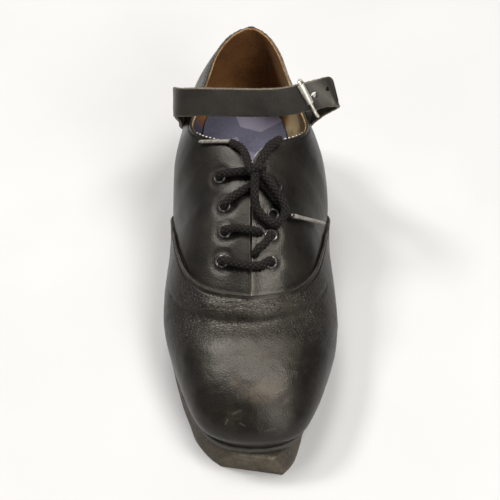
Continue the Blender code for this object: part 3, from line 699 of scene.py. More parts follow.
def build_vamp():
    kept = {}

    def place(u, v):
        around = 2 * u - 1
        side = np.where(around < 0, -1.0, 1.0)
        share = even_shares(1 - np.abs(around))
        start = seam_section(share)
        section = start + (LAST_ROW - start) * (0.45 * v + 0.55 * v**2)
        points, way = laid(side, section, share)
        edge, _ = nearness(points, both_seams)
        lift = 0.25 + 1.15 * np.exp(-edge / 12.0)
        lift += 0.28 * bell(edge - 0.7, 0.5) - 0.26 * bell(edge - 2.5, 0.5) - 0.5 * bell(edge, 0.35)
        near, away, fade = next(along_lines(points, [MAIN_FOLD], 20.0))
        fold_sections, fold_places = zip(*MAIN_FOLD)
        fold_at = np.interp(side * (1 - share), fold_places, fold_sections)
        slope = np.where(section > fold_at, MAIN_GENTLE, MAIN_STEEP)[near]
        lift[near] -= MAIN_DEPTH * fade * bell(away, slope)
        for fold, (near, away, fade) in zip(FOLDS, along_lines(points, [f[2:] for f in FOLDS], 9.0)):
            lift[near] -= fold[0] * fade * bell(away, fold[1])
        lift += 0.22 * clouds(points, 14.0, 1) + 0.10 * clouds(points, 5.0, 2)
        scratch = np.zeros(len(points))
        found = along_lines(points, [s[1:] for s in SCRATCHES], 3.0)
        for (amount, *_), (near, away, fade) in zip(SCRATCHES, found):
            scratch[near] = np.maximum(scratch[near], amount * fade * bell(away, SCRATCH_WIDTH))
        rub = np.zeros(len(points))
        for amount, size, spot, place_round in RUBS:
            middle = leather(np.sign(place_round) or 1.0, spot, 1 - abs(place_round))[0]
            rub += amount * bell(np.linalg.norm(points - middle, axis=1), size)
        crack = rise(section, 9.0, 9.8) * (1 - rise(section, 10.3, 11.3)) * rise(edge, 2.5, 5.0)
        kept.update(edge=edge, scratch=scratch, rub=np.clip(rub, 0, 1), crack=crack)
        return points + lift[:, None] * way

    piece = panel("vamp", VAMP_ACROSS, VAMP_ALONG, place, flip=True)
    mark(piece, **kept)
    wall(piece, LEATHER_WALL)
    smooth(piece)
    return piece


vamp = build_vamp()
belongs(vamp, "upper_leather", "upper")

# %% [markdown]
# A quarter is one side of the shoe from the heel seam to the throat. It runs on under the vamp's
# edge. Its cut edge at the throat stands up a little, with stitches beside it, and it puckers round
# the eyelets. It is laid on the last as the vamp is, so the two lie close together. A Boolean
# modifier could cut the eyelets' holes, but the rings hide their rims, so the cells there are
# simply deleted.

# %% Quarters
QUARTER_ALONG, QUARTER_UP, EYELET_CUT = 190, 110, 0.0028
EYELET_SEATS = {name: from_above(*spot) for name, spot in EYELET_SPOTS.items()}


def build_quarter(name, side):
    kept = {}

    def place(u, v):
        share = even_shares(v)
        end = np.minimum(seam_section(share) + 0.42, 10.5)
        section = end * np.interp(u, [0.0, 0.34, 1.0], [0.0, 0.5, 1.0])
        points, way = laid(side, section, share)
        edge, _ = nearness(points, both_seams)
        under = section > seam_section(share)
        top = np.linalg.norm(points - leather(side, section, 1.0), axis=1)
        throat = rise(section, 7.3, 8.0)
        lift = np.where(under, -0.5 * rise(edge, 0.0, 5.0), -0.3 * bell(edge, 2.0))
        lift += throat * (0.2 * bell(top, 0.45) - 0.08 * bell(top - 2.5, 0.5))
        lift -= (1 - throat) * 0.25 * bell(top - 2.4, 0.6)
        for seat, _ in EYELET_SEATS.values():
            lift -= 0.35 * bell(np.linalg.norm(points - seat, axis=1) - 5.6, 1.7)
        lift += 0.28 * clouds(points, 22.0, 3 + side) + 0.10 * clouds(points, 6.0, 5)
        worn = rise(share, 0.9, 1.0) * (1 - rise(section, 0.6, 2.0))
        points[:, 2] += worn * (0.9 * clouds(points, 1.6, 7) - 0.3)
        kept.update(edge=np.where(under, 9.0, edge), rim=top)
        return points + lift[:, None] * way

    piece = panel(name, QUARTER_ALONG, QUARTER_UP, place, flip=side > 0)
    mark(piece, **kept)
    in_edit(piece, (bpy.ops.mesh.select_all, {"action": "DESELECT"}))
    seats = [Vector(metres(seat)) for seat, _ in EYELET_SEATS.values()]
    for face in piece.data.polygons:
        face.select = any((seat - face.center).length < EYELET_CUT for seat in seats)
    bpy.ops.object.mode_set(mode="EDIT")
    bpy.ops.mesh.select_mode(type="FACE")
    bpy.ops.mesh.delete(type="FACE")
    bpy.ops.mesh.select_mode(type="VERT")
    bpy.ops.object.mode_set(mode="OBJECT")
    wall(piece, LEATHER_WALL)
    smooth(piece)
    belongs(piece, "upper_leather", "upper")
    return piece


quarters = [build_quarter("quarter_inner", -1), build_quarter("quarter_outer", 1)]

# %% [markdown]
# The lining is a second, thinner skin inside the leather. Its raw edge shows as a pale line round
# the collar. The inner face of the leather could stand for it, but that has no edge of its own. So
# two halves are laid, joined down the heel and over the toes, and then given their thickness. Under
# the vamp it drops, clear of the folds. A pale tape edges the top of the throat.

# %% Lining
LINING_WALL, LINING_DROP, TAPE_WALL = 0.8, 3.4, 0.5


def build_lining():
    halves, kept = [], {}

    def lay(side):
        def place(u, v):
            section = LAST_ROW * np.interp(u, [0.0, 0.4, 1.0], [0.0, 5.0 / LAST_ROW, 1.0])
            points, way = laid(side, section, v)
            top = np.linalg.norm(points - leather(side, section, 1.0), axis=1)
            worn = rise(v, 0.93, 1.0) * (1 - rise(section, 0.6, 2.0))
            points[:, 2] += worn * 0.4 * clouds(points, 1.2, 9)
            lift = -1.25 + 0.22 * clouds(points, 18.0, 11) * (1 - rise(v, 0.8, 1.0))
            lift -= LINING_DROP * rise(section, 9.2, 9.9)
            closed = rise(section, 7.75, 8.3) * (1 - rise(section, 10.0, 10.6)) * rise(v, 0.9, 0.99)
            points[:, 0] -= side * 2.2 * closed
            kept.update(rim=top)
            return points + lift[:, None] * way
        return place

    for name, side in (("lining", -1), ("lining_half", 1)):
        halves.append(panel(name, 130, 56, lay(side), flip=side > 0))
        mark(halves[-1], **kept)
    piece = halves[0]
    only(piece)
    halves[1].select_set(True)
    bpy.ops.object.join()
    in_edit(piece, (bpy.ops.mesh.remove_doubles, {"threshold": 15 * WELD}))
    wall(piece, LINING_WALL)
    smooth(piece)
    return piece


lining = build_lining()
belongs(lining, "upper_leather", "upper")


def build_tape(name, side, wide):
    """A narrow pale tape that stands out from under the leather at the top of the throat."""
    def place(u, v):
        section = 6.95 + 1.25 * u
        edge, way = laid(side, section, 1.0)
        out_of_edge = unit(edge - leather(side, section, 0.95))
        reach = wide * (1 + 0.35 * clouds(edge, 3.0, 23))
        reach *= rise(u, 0.0, 0.12) * (1 - 0.6 * rise(u, 0.7, 1.0))
        return edge + (v * (reach + 2.0) - 2.0)[:, None] * out_of_edge - 0.85 * way

    piece = panel(name, 70, 8, place, flip=side > 0)
    wall(piece, TAPE_WALL)
    smooth(piece)
    belongs(piece, "upper_leather")
    return piece


tapes = [build_tape("throat_tape_inner", -1, 2.2), build_tape("throat_tape_outer", 1, 0.7)]

# %% [markdown]
# An eyelet is a pressed metal ring. A torus would be too round, because the real rim is flat and
# turns down into the leather. So half its cross-section is drawn as a line of points, and spinning
# that line once round gives the ring. The eight copies are set into the quarters.

# %% Eyelets
EYELET_PROFILE = (
    # radius, height
    (2.45, -2.3), (2.45, 0.35), (2.6, 0.85), (2.95, 1.1), (3.35, 1.0), (3.65, 0.7), (3.75, 0.3),
    (3.2, 0.15), (2.9, 0.0), (2.85, -2.3),
)


def spun(name, profile, steps):
    """A ring made by spinning a closed profile of radius and height round the Z axis."""
    piece = added(bpy.ops.mesh.primitive_circle_add, name, vertices=len(profile), radius=0.01)
    for point, (radius, height) in zip(piece.data.vertices, profile):
        point.co = (radius * 0.001, 0.0, height * 0.001)
    once_round = {"steps": steps, "angle": 2 * math.pi, "center": (0, 0, 0), "axis": (0, 0, 1)}
    in_edit(piece, (bpy.ops.mesh.spin, once_round))
    in_edit(
        piece,
        (bpy.ops.mesh.remove_doubles, {"threshold": WELD}),
        (bpy.ops.mesh.normals_make_consistent, {"inside": False}),
    )
    return piece


def copy_to(model, name, matrix):
    """A copy of a modelled piece, with its own mesh laid at a place."""
    twin = model.copy()
    twin.data = model.data.copy()
    twin.name = twin.data.name = name
    twin.data.transform(matrix)
    bpy.context.scene.collection.objects.link(twin)
    return twin


def upright_at(point, way):
    """The turn and move that set a piece's Z axis along way at a point of the last."""
    turn = Vector(way).to_track_quat("Z", "Y").to_matrix().to_4x4()
    turn.translation = Vector(metres(point))
    return turn


ring_model = spun("eyelet_model", EYELET_PROFILE, 28)
eyelets = []
for name, (seat, way) in EYELET_SEATS.items():
    ring = copy_to(ring_model, "eyelet_ring_" + name, upright_at(seat, way))
    smooth(ring)
    belongs(ring, "eyelet_metal", "eyelet_" + name)
    eyelets.append(ring)
bpy.data.objects.remove(ring_model)

# %% [markdown]
# Stitches are short grains of thread, half sunk in the leather. A dotted line in the finish would
# stay flat at the edge of the shoe. So one grain is modelled from a ball, and copies are laid end
# to end along each seam, a little askew as by a real needle.

# %% Stitches
threads = []


def stitch_row(name, line, ways, pitch, length, size):
    """Grains of thread along a line, each with its long side along it."""
    grain = added(bpy.ops.mesh.primitive_uv_sphere_add, "grain", segments=8, ring_count=6, radius=1.0)
    in_edit(grain, (bpy.ops.transform.resize, {"value": (0.5 * length, 0.5 * size, 0.4 * size)}))
    base = np.empty(3 * len(grain.data.vertices))
    grain.data.vertices.foreach_get("co", base)
    base = base.reshape(-1, 3)
    shape = [list(f.vertices) for f in grain.data.polygons]
    bpy.data.objects.remove(grain)
    run = run_of(line)

    def read(at, rows):
        return np.array([np.interp(at, run, column) for column in rows.T])

    points, faces = [], []
    for at in np.arange(0.6 * pitch, run[-1], pitch):
        spot, up = read(at, line), read(at, ways)
        ahead = read(at + 0.4, line) - spot
        if np.linalg.norm(ahead) < 1e-6:
            continue
        ahead = unit(ahead)
        side = unit(np.cross(up, ahead))
        lean = 0.12 * math.sin(7.7 * at)
        long_way = math.cos(lean) * ahead + math.sin(lean) * side
        frame_here = np.stack([long_way, np.cross(up, long_way), up])
        start = len(points) * len(base)
        points.append(metres(spot + base @ frame_here))
        faces += [[start + i for i in f] for f in shape]
    data = bpy.data.meshes.new(name)
    data.from_pydata(np.concatenate(points).tolist(), [], faces)
    piece = bpy.data.objects.new(name, data)
    bpy.context.scene.collection.objects.link(piece)
    smooth(piece, 80.0)
    belongs(piece, "lace_braid")
    threads.append(piece)


def offset_seam(side, away, lift):
    """The vamp's edge moved forward onto the vamp, for its stitches."""
    line, way = laid(side, seam_fine[:, 1], seam_fine[:, 0])
    forward = np.cross(way, unit(np.gradient(line, axis=0))) * side
    forward *= np.sign(np.sum(forward * (0.0, -1.0, -0.3), axis=1, keepdims=True))
    return line + away * forward + lift * way, way


RIMS = (
    # name, first and last section, points, distance from the rim, pitch, length
    ("throat", 7.75, 9.95, 160, 2.5, 2.3, 1.6), ("collar", 0.15, 7.5, 300, 2.4, 2.6, 1.7),
)
for side, word in ((-1, "inner"), (1, "outer")):
    stitch_row("vamp_stitches_" + word, *offset_seam(side, 2.5, 1.05), 2.5, 1.7, 0.75)
    for rim, first, last, count, inset, pitch, length in RIMS:
        section = np.linspace(first, last, count)
        edge, way = leather(side, section, 1.0), outward(side, section, 0.97)
        line = edge + inset * unit(leather(side, section, 0.94) - edge) - 0.1 * way
        stitch_row(f"{rim}_stitches_{word}", line, way, pitch, length, 0.6)
    section = np.linspace(5.5, 7.15, 60)
    up = np.tile((0.0, 0.0, 1.0), (len(section), 1))
    line = leather(side, section, 1.0) - 1.5 * outward(side, section, 0.98) + 0.4 * up
    stitch_row("lining_stitches_" + word, line, up, 2.7, 1.5, 1.2)

# %% [markdown]
# The sole and the heel block already have their true outline in the solid model, and modelling them
# again would only add errors. A copy of each is cleaned, its flat faces are joined again, and a
# Bevel modifier takes off the sharp edges, as wear does.

# %% Sole and heel block
def ease(piece, width, angle):
    """Round off the edges of a piece that are sharper than an angle."""
    step = piece.modifiers.new("eased", "BEVEL")
    step.width = width * 0.001
    step.segments = 3
    step.limit_method = "ANGLE"
    step.angle_limit = math.radians(angle)
    apply_all(piece)
    smooth(piece, 32.0)


def eased(node, name, slot, width):
    """A copy of a solid, cleaned and with its edges eased."""
    piece = copy_to(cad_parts[node], name, Matrix.Identity(4))
    piece.parent = None
    for key in list(piece.keys()):
        del piece[key]
    piece.data.materials.clear()
    in_edit(
        piece,
        (bpy.ops.mesh.remove_doubles, {"threshold": 2 * WELD}),
        (bpy.ops.mesh.dissolve_limited, {"angle_limit": math.radians(0.6)}),
    )
    ease(piece, width, 25.0)
    belongs(piece, slot, node)
    return piece


outsole = eased("outsole", "outsole_leather", "outsole_leather", 0.7)
heel = eased("heel", "heel_block", "heel_resin", 1.0)

# %% [markdown]
# The toe tip is a block under the front of the sole. Its sides are flared: the outline is largest
# at the floor and shrinks upwards round the nose. A cube could be scaled and cut to this, but the
# outline's curve would be lost. So rings of points are laid along it, and a skew cut takes the nose
# off, which leaves the ground face arched.

# %% Toe tip
TIP = (
    # y, inner, outer
    (-36.0, 44.5, 42.0), (-51.0, 46.0, 42.0), (-63.0, 44.0, 40.5), (-75.0, 41.0, 38.0),
    (-86.0, 38.0, 34.5), (-97.0, 34.0, 31.0), (-108.0, 30.0, 28.5), (-118.0, 22.6, 25.6),
    (-124.0, 15.4, 22.4), (-129.0, 9.0, 17.6), (-134.0, 2.0, 11.0),
)
TIP_ROWS, TIP_TOP, TIP_SHRINK, TIP_HEART = 60, 4.6, 0.12, np.array([3.0, -95.0])
TIP_FACE_AT = metres((0.0, -126.0, 0.0))
TIP_FACE_WAY = np.array([math.sin(math.radians(9.0)), math.cos(math.radians(9.0)), 0.0])
tip_ring = np.array(
    [(x, 0.0) for x in np.linspace(-1, 1, 7)] + [(1.0, h) for h in np.linspace(0, 1, 11)[1:]]
    + [(x, 1.0) for x in np.linspace(1, -1, 13)[1:]] + [(-1.0, h) for h in np.linspace(1, 0, 11)[1:]]
)


def build_tip():
    rows = smooth_rows(TIP, np.linspace(0, len(TIP) - 1, TIP_ROWS + 1))

    def place(u, v):
        across, height = tip_ring[np.round(u * (len(tip_ring) - 1)).astype(int)].T
        y, inner, outer = rows[np.round(v * TIP_ROWS).astype(int)].T
        x = -inner + 0.5 * (across + 1) * (inner + outer)
        shrink = 1 - TIP_SHRINK * rise(-y, 84.0, 124.0) * height**1.5
        x, y = (heart + (spot - heart) * shrink for heart, spot in zip(TIP_HEART, (x, y)))
        return np.stack([x, y, height * (feather_height(y) - TIP_TOP)], 1)

    piece = panel("tip_block", len(tip_ring) - 1, TIP_ROWS, place)
    close_up(piece)
    nose = {"plane_co": tuple(TIP_FACE_AT), "plane_no": tuple(TIP_FACE_WAY)}
    in_edit(piece, (bpy.ops.mesh.bisect, {"use_fill": True, "clear_inner": True, **nose}))
    ease(piece, 0.7, 28.0)
    belongs(piece, "tip_resin", "toe_tip")
    return piece


tip = build_tip()

# %% [markdown]
# The insole is a cloth-covered board. A flat plate would stand off the sole where the shoe bends,
# so it is laid as a grid between the two sides of the shoe, pressed down a little in the middle by
# the foot, and given a wall.

# %% Insole
INSOLE_INSET, INSOLE_WALL, INSOLE_TOP = 2.9, 1.8, 2.6


def sole_line(side, inset):
    """The line where upper and sole meet on one side, heel to toe, moved inwards."""
    section = np.linspace(0, LAST_ROW, 160)
    line = leather(side, section, 0.0)
    front = leather(side, np.full(24, float(LAST_ROW)), np.linspace(0.04, 1.0, 24))
    line = np.vstack([line, front])[:, :2]
    way = unit(np.gradient(line, axis=0))
    normal = np.stack([way[:, 1], -way[:, 0]], 1) * side
    normal[0], normal[-1] = (0.0, -1.0), (0.0, 1.0)
    return line + inset * normal


def build_insole():
    sides = [sole_line(side, INSOLE_INSET) for side in (-1, 1)]
    rows = len(sides[0]) - 1

    def place(u, v):
        i = np.round(v * rows).astype(int)
        spot = sides[0][i] * (1 - u)[:, None] + sides[1][i] * u[:, None]
        dish = 0.7 * (1 - (2 * u - 1) ** 2)
        points = np.column_stack([spot, feather_height(spot[:, 1]) + INSOLE_TOP - dish])
        points[:, 2] += 0.12 * clouds(points, 9.0, 13)
        return points

    piece = panel("insole_cloth", 44, rows, place, flip=True)
    wall(piece, INSOLE_WALL)
    smooth(piece)
    return piece


insole = build_insole()
belongs(insole, "insole_cloth", "insole")

# %% [markdown]
# Two flat thongs with rounded edges make the ankle strap. The long one crosses the shoe to the
# buckle and ends in a tail. The short one comes up behind the tail to the buckle's back bar. A
# curve with a flat profile would twist at the bends, so middle line, lean and roll come from a
# table, and a rounded cross-section is carried along it. On the flanks the straps are pushed out
# clear of the leather.

# %% Straps
STRAP_WIDTH, STRAP_THICKNESS, STRAP_GAP, STRAP_EDGE = 17.0, 2.4, 0.3, 0.75
STRAP_FREE_ABOVE = 95.0
STRAP_LONG = (
    # x, y, z, lean, roll
    (-35.0, 101.0, 51.0, 54.0, 0.0), (-40.0, 89.0, 66.0, 54.0, 0.0), (-43.0, 76.0, 84.0, 52.0, 0.0),
    (-44.0, 65.0, 98.0, 45.0, 0.0), (-43.5, 58.0, 105.5, 35.0, 0.0), (-39.5, 53.8, 109.0, 28.0, 0.0),
    (-28.0, 52.0, 111.2, 25.0, 0.0), (0.0, 51.5, 111.0, 25.0, 0.0), (18.0, 51.5, 111.6, 25.0, -4.0),
    (32.0, 52.5, 114.4, 29.0, -12.0), (39.4, 53.8, 115.6, 37.0, -15.0), (45.4, 55.9, 115.7, 46.0, -18.0),
    (49.0, 58.2, 113.6, 52.0, -20.0),
)
STRAP_SHORT = (
    (29.0, 101.0, 51.0, 54.0, 0.0), (35.0, 89.0, 66.0, 54.0, 0.0), (40.0, 77.0, 83.0, 52.0, 0.0),
    (43.8, 70.6, 94.0, 46.0, 0.0), (47.4, 66.4, 101.5, 50.0, -10.0), (49.2, 63.2, 106.8, 54.0, -18.0),
    (47.0, 60.6, 110.2, 50.0, -18.0), (43.9, 58.5, 112.2, 46.0, -16.0),
)


def strap_frame(rows, spots):
    """Middle points, width directions and outward directions along a strap."""
    read = smooth_rows(rows, spots)
    middle = read[:, :3]
    lean, roll = np.radians(read[:, 3]), np.radians(read[:, 4])
    width = np.stack([np.sin(roll), np.sin(lean) * np.cos(roll), np.cos(lean) * np.cos(roll)], 1)
    way = np.gradient(middle, axis=0)
    width = unit(width - way * (np.sum(width * way, 1) / np.sum(way * way, 1))[:, None])
    return middle, width, unit(np.cross(way, width))


def strap_outline(count):
    """A rounded bar seen from its end, as shares of half width and millimetres of thickness."""
    wide, thick = 0.5 * STRAP_WIDTH - STRAP_EDGE, 0.5 * STRAP_THICKNESS - STRAP_EDGE
    spots = []
    for turn, cx, cy in ((0, 1, 1), (1, -1, 1), (2, -1, -1), (3, 1, -1)):
        for k in range(5):
            angle = 0.5 * math.pi * (turn + k / 4)
            x, y = STRAP_EDGE * math.cos(angle), STRAP_EDGE * math.sin(angle)
            spots.append((cx * wide + x, cy * thick + y))
    spots = np.array(spots + spots[:1])
    run = run_of(spots)
    even = np.linspace(0, run[-1], count + 1)
    even = np.sort(np.concatenate([even, run[1:-1]]))
    return np.stack([np.interp(even, run, spots[:, i]) for i in range(2)], 1)


def build_strap(name, rows, face, corner):
    """A strap, with its middle points, width directions and outward directions. corner rounds its end."""
    coarse = np.linspace(0, len(rows) - 1, 4 * (len(rows) - 1) + 1)
    middle, width, out = strap_frame(rows, coarse)
    side = 1 if middle[0, 0] > 0 else -1
    for i in range(len(middle)):
        if middle[i, 2] < STRAP_FREE_ABOVE:
            need = 0.0
            for share in (-0.5, -0.25, 0.0, 0.25, 0.5):
                spot = middle[i] + share * STRAP_WIDTH * width[i]
                point, _ = from_side(side, spot[1], spot[2])
                need = max(need, abs(point[0]) + 0.5 * STRAP_THICKNESS + 2 * STRAP_GAP - abs(spot[0]))
            middle[i, 0] += side * need
    middle[2:-2] = (middle[1:-3] + 2 * middle[2:-2] + middle[3:-1]) / 4
    fine = np.linspace(0, len(middle) - 1, 8 * (len(middle) - 1) + 1)
    middle, width, out = (smooth_rows(line, fine) for line in (middle, width, out))
    width, out = unit(width), unit(out)
    run = run_of(middle)
    narrow = np.ones(len(run))
    if corner:
        past = np.maximum(corner - (run[-1] - run), 0.0) / corner
        narrow -= corner * (1 - np.sqrt(1 - past**2)) / (0.5 * STRAP_WIDTH)
    outline = strap_outline(40)
    ring, count = len(outline) - 1, len(middle) - 1
    kept = {}

    def place(u, v):
        i, j = np.round(v * count).astype(int), np.round(u * ring).astype(int)
        across, through = outline[j, 0] * narrow[i], outline[j, 1]
        points = middle[i] + across[:, None] * width[i] + (face * through)[:, None] * out[i]
        edge = rise(np.abs(outline[j, 0]), 0.5 * STRAP_WIDTH - 0.7, 0.5 * STRAP_WIDTH - 0.15)
        points += (0.16 * clouds(points, 7.0, 17))[:, None] * out[i]
        points += (edge * 0.22 * clouds(points, 1.7, 19))[:, None] * width[i]
        kept.update(cut=edge)
        return points

    piece = panel(name, ring, count, place)
    mark(piece, **kept)
    close_up(piece)
    print(name, "length in millimetres", round(run[-1], 1))
    return piece, middle, width, out


long_strap, *long_lines = build_strap("ankle_strap_long", STRAP_LONG, -1, 2.6)
short_strap, *_ = build_strap("ankle_strap_short", STRAP_SHORT, 1, 0.0)

# %% [markdown]
# The buckle is a bent wire frame with a roller on its front bar and a prong behind it. Cylinders
# joined at corners would look cut, so each wire is a curve with round depth that is then made a
# mesh. Its points are counted from the roller: along the strap, across it and out from it. The
# roller is spun like the eyelets.

# %% Buckle
BUCKLE_X, BUCKLE_SKEW, BUCKLE_FIRST, BUCKLE_LAST = 33.0, 15.0, 6.0, 10.5
BUCKLE_WIRE, PRONG_RADIUS = 1.0, 0.8
BUCKLE_LINE = (
    # along the strap from the roller, across it, out from it
    (-2.46, 9.2, 3.5), (-2.6, 9.9, 2.6), (-2.5, 10.1, 0.6), (-2.1, 9.9, -1.5), (-1.1, 7.9, -3.3),
    (1.2, 5.6, -3.4), (5.6, 4.8, -3.4), (9.8, 4.4, -3.4), (11.0, 2.6, -3.4), (11.0, -3.0, -3.4),
    (9.8, -5.2, -3.5), (6.4, -6.4, -3.6), (3.6, -7.6, -3.6), (2.7, -9.8, -3.2), (3.0, -11.8, -1.4),
    (3.2, -12.3, 0.6), (2.7, -11.0, 2.6), (1.9, -7.6, 3.4), (0.99, -3.7, 3.5), (0.0, 0.0, 3.5),
    (-1.2, 4.5, 3.5),
)
ROLLER_ENDS, ROLLER_HEIGHT = (-3.6, 8.8), 3.5
ROLLER_PROFILE = (
    # radius, and distance past the end of the roller
    (1.4, 0.0), (1.75, 0.05), (2.0, -0.3),
)
PRONG_LINE = ((8.7, 0.0, -3.3), (6.6, 0.0, -3.1), (4.9, 0.0, -1.6), (4.1, 0.0, 0.6), (3.7, 0.0, 2.7))
buckle_spots = np.linspace(0, len(STRAP_LONG) - 1, 800)
middle, width, out = strap_frame(STRAP_LONG, buckle_spots)
elsewhere = (buckle_spots < BUCKLE_FIRST) | (buckle_spots > BUCKLE_LAST)
at = int(np.argmin(np.abs(middle[:, 0] - BUCKLE_X) + 100 * elsewhere))
from_roller = run_of(middle) - run_of(middle)[at]


def by_strap(along, across, height):
    """A point beside the strap, counted from the roller."""
    j = int(np.argmin(np.abs(from_roller - along)))
    face = -out[j] if out[at] @ out[j] > 0 else out[j]
    if out[at][1] < 0:
        face = -face
    return middle[j] + across * width[j] + height * face


def wire(name, points, radius, closed, node):
    """A smooth round wire along a line of points, as a curve with depth that is then made a mesh."""
    piece = added(bpy.ops.curve.primitive_bezier_curve_add, name)
    piece.data.splines.clear()
    line = piece.data.splines.new("POLY")
    line.points.add(len(points) - 1)
    for spot, p in zip(line.points, metres(points)):
        spot.co = (*p, 1.0)
    line.use_cyclic_u = closed
    piece.data.dimensions = "3D"
    piece.data.bevel_depth = radius * 0.001
    piece.data.bevel_resolution = 5
    piece.data.use_fill_caps = True
    piece.location = (0.0, 0.0, 0.0)
    only(piece)
    bpy.ops.object.convert(target="MESH")
    piece = bpy.context.object
    smooth(piece)
    belongs(piece, "buckle_steel", node)
    return piece


frame_line = [by_strap(*spot) for spot in BUCKLE_LINE]
ring_spots = np.linspace(0, len(frame_line), 8 * len(frame_line) + 1)
frame_ring = smooth_rows(frame_line + frame_line[:1], ring_spots, frame_line[-1])[:-1]
buckle = [wire("buckle_wire", frame_ring, BUCKLE_WIRE, True, "buckle_frame")]
prong = smooth_line([by_strap(*spot) for spot in PRONG_LINE], 0.6)
buckle.append(wire("buckle_pin", prong, PRONG_RADIUS, False, "buckle_prong"))

skew = math.radians(BUCKLE_SKEW)
low, high = (by_strap(-math.sin(skew) * end, math.cos(skew) * end, ROLLER_HEIGHT) for end in ROLLER_ENDS)
roller_half = 0.5 * float(np.linalg.norm(high - low))
upper_end = [(radius, roller_half + past) for radius, past in ROLLER_PROFILE]
roller = spun("buckle_tube", [(radius, -end) for radius, end in upper_end] + upper_end[::-1], 32)
roller.data.transform(upright_at(0.5 * (low + high), high - low))
smooth(roller, 40.0)
belongs(roller, "buckle_steel", "buckle_roller")
buckle.append(roller)
print("roller length", round(2 * roller_half, 1))

# %% [markdown]
# A hole could be a dark spot in the finish, but light should fall into it. So it is punched with a
# cylinder and a Boolean modifier: one where the prong comes through, and a spare one in the tail.

# %% Holes of the strap
PRONG_HOLE, TAIL_HOLE, TAIL_HOLE_X, TAIL_HOLE_UP, TAIL_LAST_Y = 2.0, 1.3, 44.6, 1.4, 58.0


def punch(piece, point, way, radius):
    """A round hole through a strap."""
    size = {"vertices": 20, "radius": radius * 0.001, "depth": 0.012}
    tool = added(bpy.ops.mesh.primitive_cylinder_add, "punch", **size)
    tool.data.transform(upright_at(point, way))
    step = piece.modifiers.new("hole", "BOOLEAN")
    step.operation = "DIFFERENCE"
    step.solver = "EXACT"
    step.object = tool
    apply_all(piece)
    bpy.data.objects.remove(tool)


face = by_strap(0.0, 0.0, 1.0) - by_strap(0.0, 0.0, 0.0)
depth = (prong - middle[at]) @ face
punch(long_strap, prong[int(np.argmin(np.abs(depth)))], face, PRONG_HOLE)
from_hole = np.abs(long_lines[0][:, 0] - TAIL_HOLE_X) + 100 * (long_lines[0][:, 1] > TAIL_LAST_Y)
hole_middle, hole_width, hole_out = (line[int(np.argmin(from_hole))] for line in long_lines)
punch(long_strap, hole_middle + TAIL_HOLE_UP * hole_width, hole_out, TAIL_HOLE)
for piece, node in ((long_strap, "strap_long"), (short_strap, "strap_short")):
    smooth(piece, 45.0)
    belongs(piece, "strap_leather", node)

# %% [markdown]
# Now the finishes. Each is one material, and short helpers add clouds, grain and wear to it as
# nodes. Painted pictures would need the pieces unwrapped, so all read places on the piece itself,
# in metres: a scale such as 900 makes marks of about a millimetre.

# %% Helpers for finishes
WARM_GLOSS = (1.0, 0.93, 0.82)


class Finish:
    """A material with its shader, and short ways to add nodes to it."""

    def __init__(self, name):
        self.made = bpy.data.materials.new(name)
        self.made.use_nodes = True
        self.tree = self.made.node_tree
        self.place = self.node("TexCoord", {}, "Object")

    def feed(self, socket, value):
        """Link a socket to an output, or set it to a number or colour."""
        if isinstance(value, bpy.types.NodeSocket):
            self.tree.links.new(value, socket)
        else:
            socket.default_value = (*value, 1.0) if socket.type == "RGBA" else value

    def node(self, kind, inputs, result=0, **settings):
        """A new node with these settings and inputs. Gives one of its outputs."""
        made = self.tree.nodes.new("ShaderNode" + kind)
        for name, value in settings.items():
            setattr(made, name, value)
        for key, value in inputs.items():
            self.feed(made.inputs[key], value)
        return made.outputs[result]

    def shade(self, **inputs):
        """Set inputs of the shader, named with _ for a space."""
        for name, value in inputs.items():
            self.feed(self.tree.nodes["Principled BSDF"].inputs[name.replace("_", " ")], value)

    def dress(self, *pieces):
        """Put the finish on pieces."""
        for piece in pieces:
            piece.data.materials.clear()
            piece.data.materials.append(self.made)
        print(self.made.name, "on", [piece.name for piece in pieces])

    def stretched(self, scale, turn=(0.0, 0.0, 0.0)):
        return self.node("Mapping", {"Rotation": turn, "Scale": scale, "Vector": self.place})

    def speckle(self, scale, detail=3.0, rough=0.55, distortion=0.0, place=None):
        return self.node("TexNoise", {
            "Vector": self.place if place is None else place,
            "Scale": scale, "Detail": detail, "Roughness": rough, "Distortion": distortion,
        })

    def cells(self, scale, feature="F1", place=None, result=0):
        inputs = {"Vector": self.place if place is None else place, "Scale": scale}
        return self.node("TexVoronoi", inputs, result, feature=feature)

    def span(self, value, low, high, to_low=0.0, to_high=1.0):
        inputs = {0: value, 1: low, 2: high, 3: to_low, 4: to_high}
        return self.node("MapRange", inputs, interpolation_type="SMOOTHSTEP")

    def mixed(self, share, first, second):
        return self.node("Mix", {0: share, 6: first, 7: second}, 2, data_type="RGBA")

    def maths(self, operation, first, second):
        return self.node("Math", {0: first, 1: second}, operation=operation)

    def times(self, first, second):
        return self.maths("MULTIPLY", first, second)

    def number(self, name):
        """A number that was kept for each point of the piece."""
        return self.node("Attribute", {}, "Fac", attribute_name=name)

    def axis(self, axis):
        return self.node("SeparateXYZ", {0: self.place}, axis)

    def bumped(self, height, depth, strength, under=None):
        inputs = {"Strength": strength, "Distance": depth, "Height": height}
        return self.node("Bump", inputs if under is None else {**inputs, "Normal": under})


print("helpers ready")
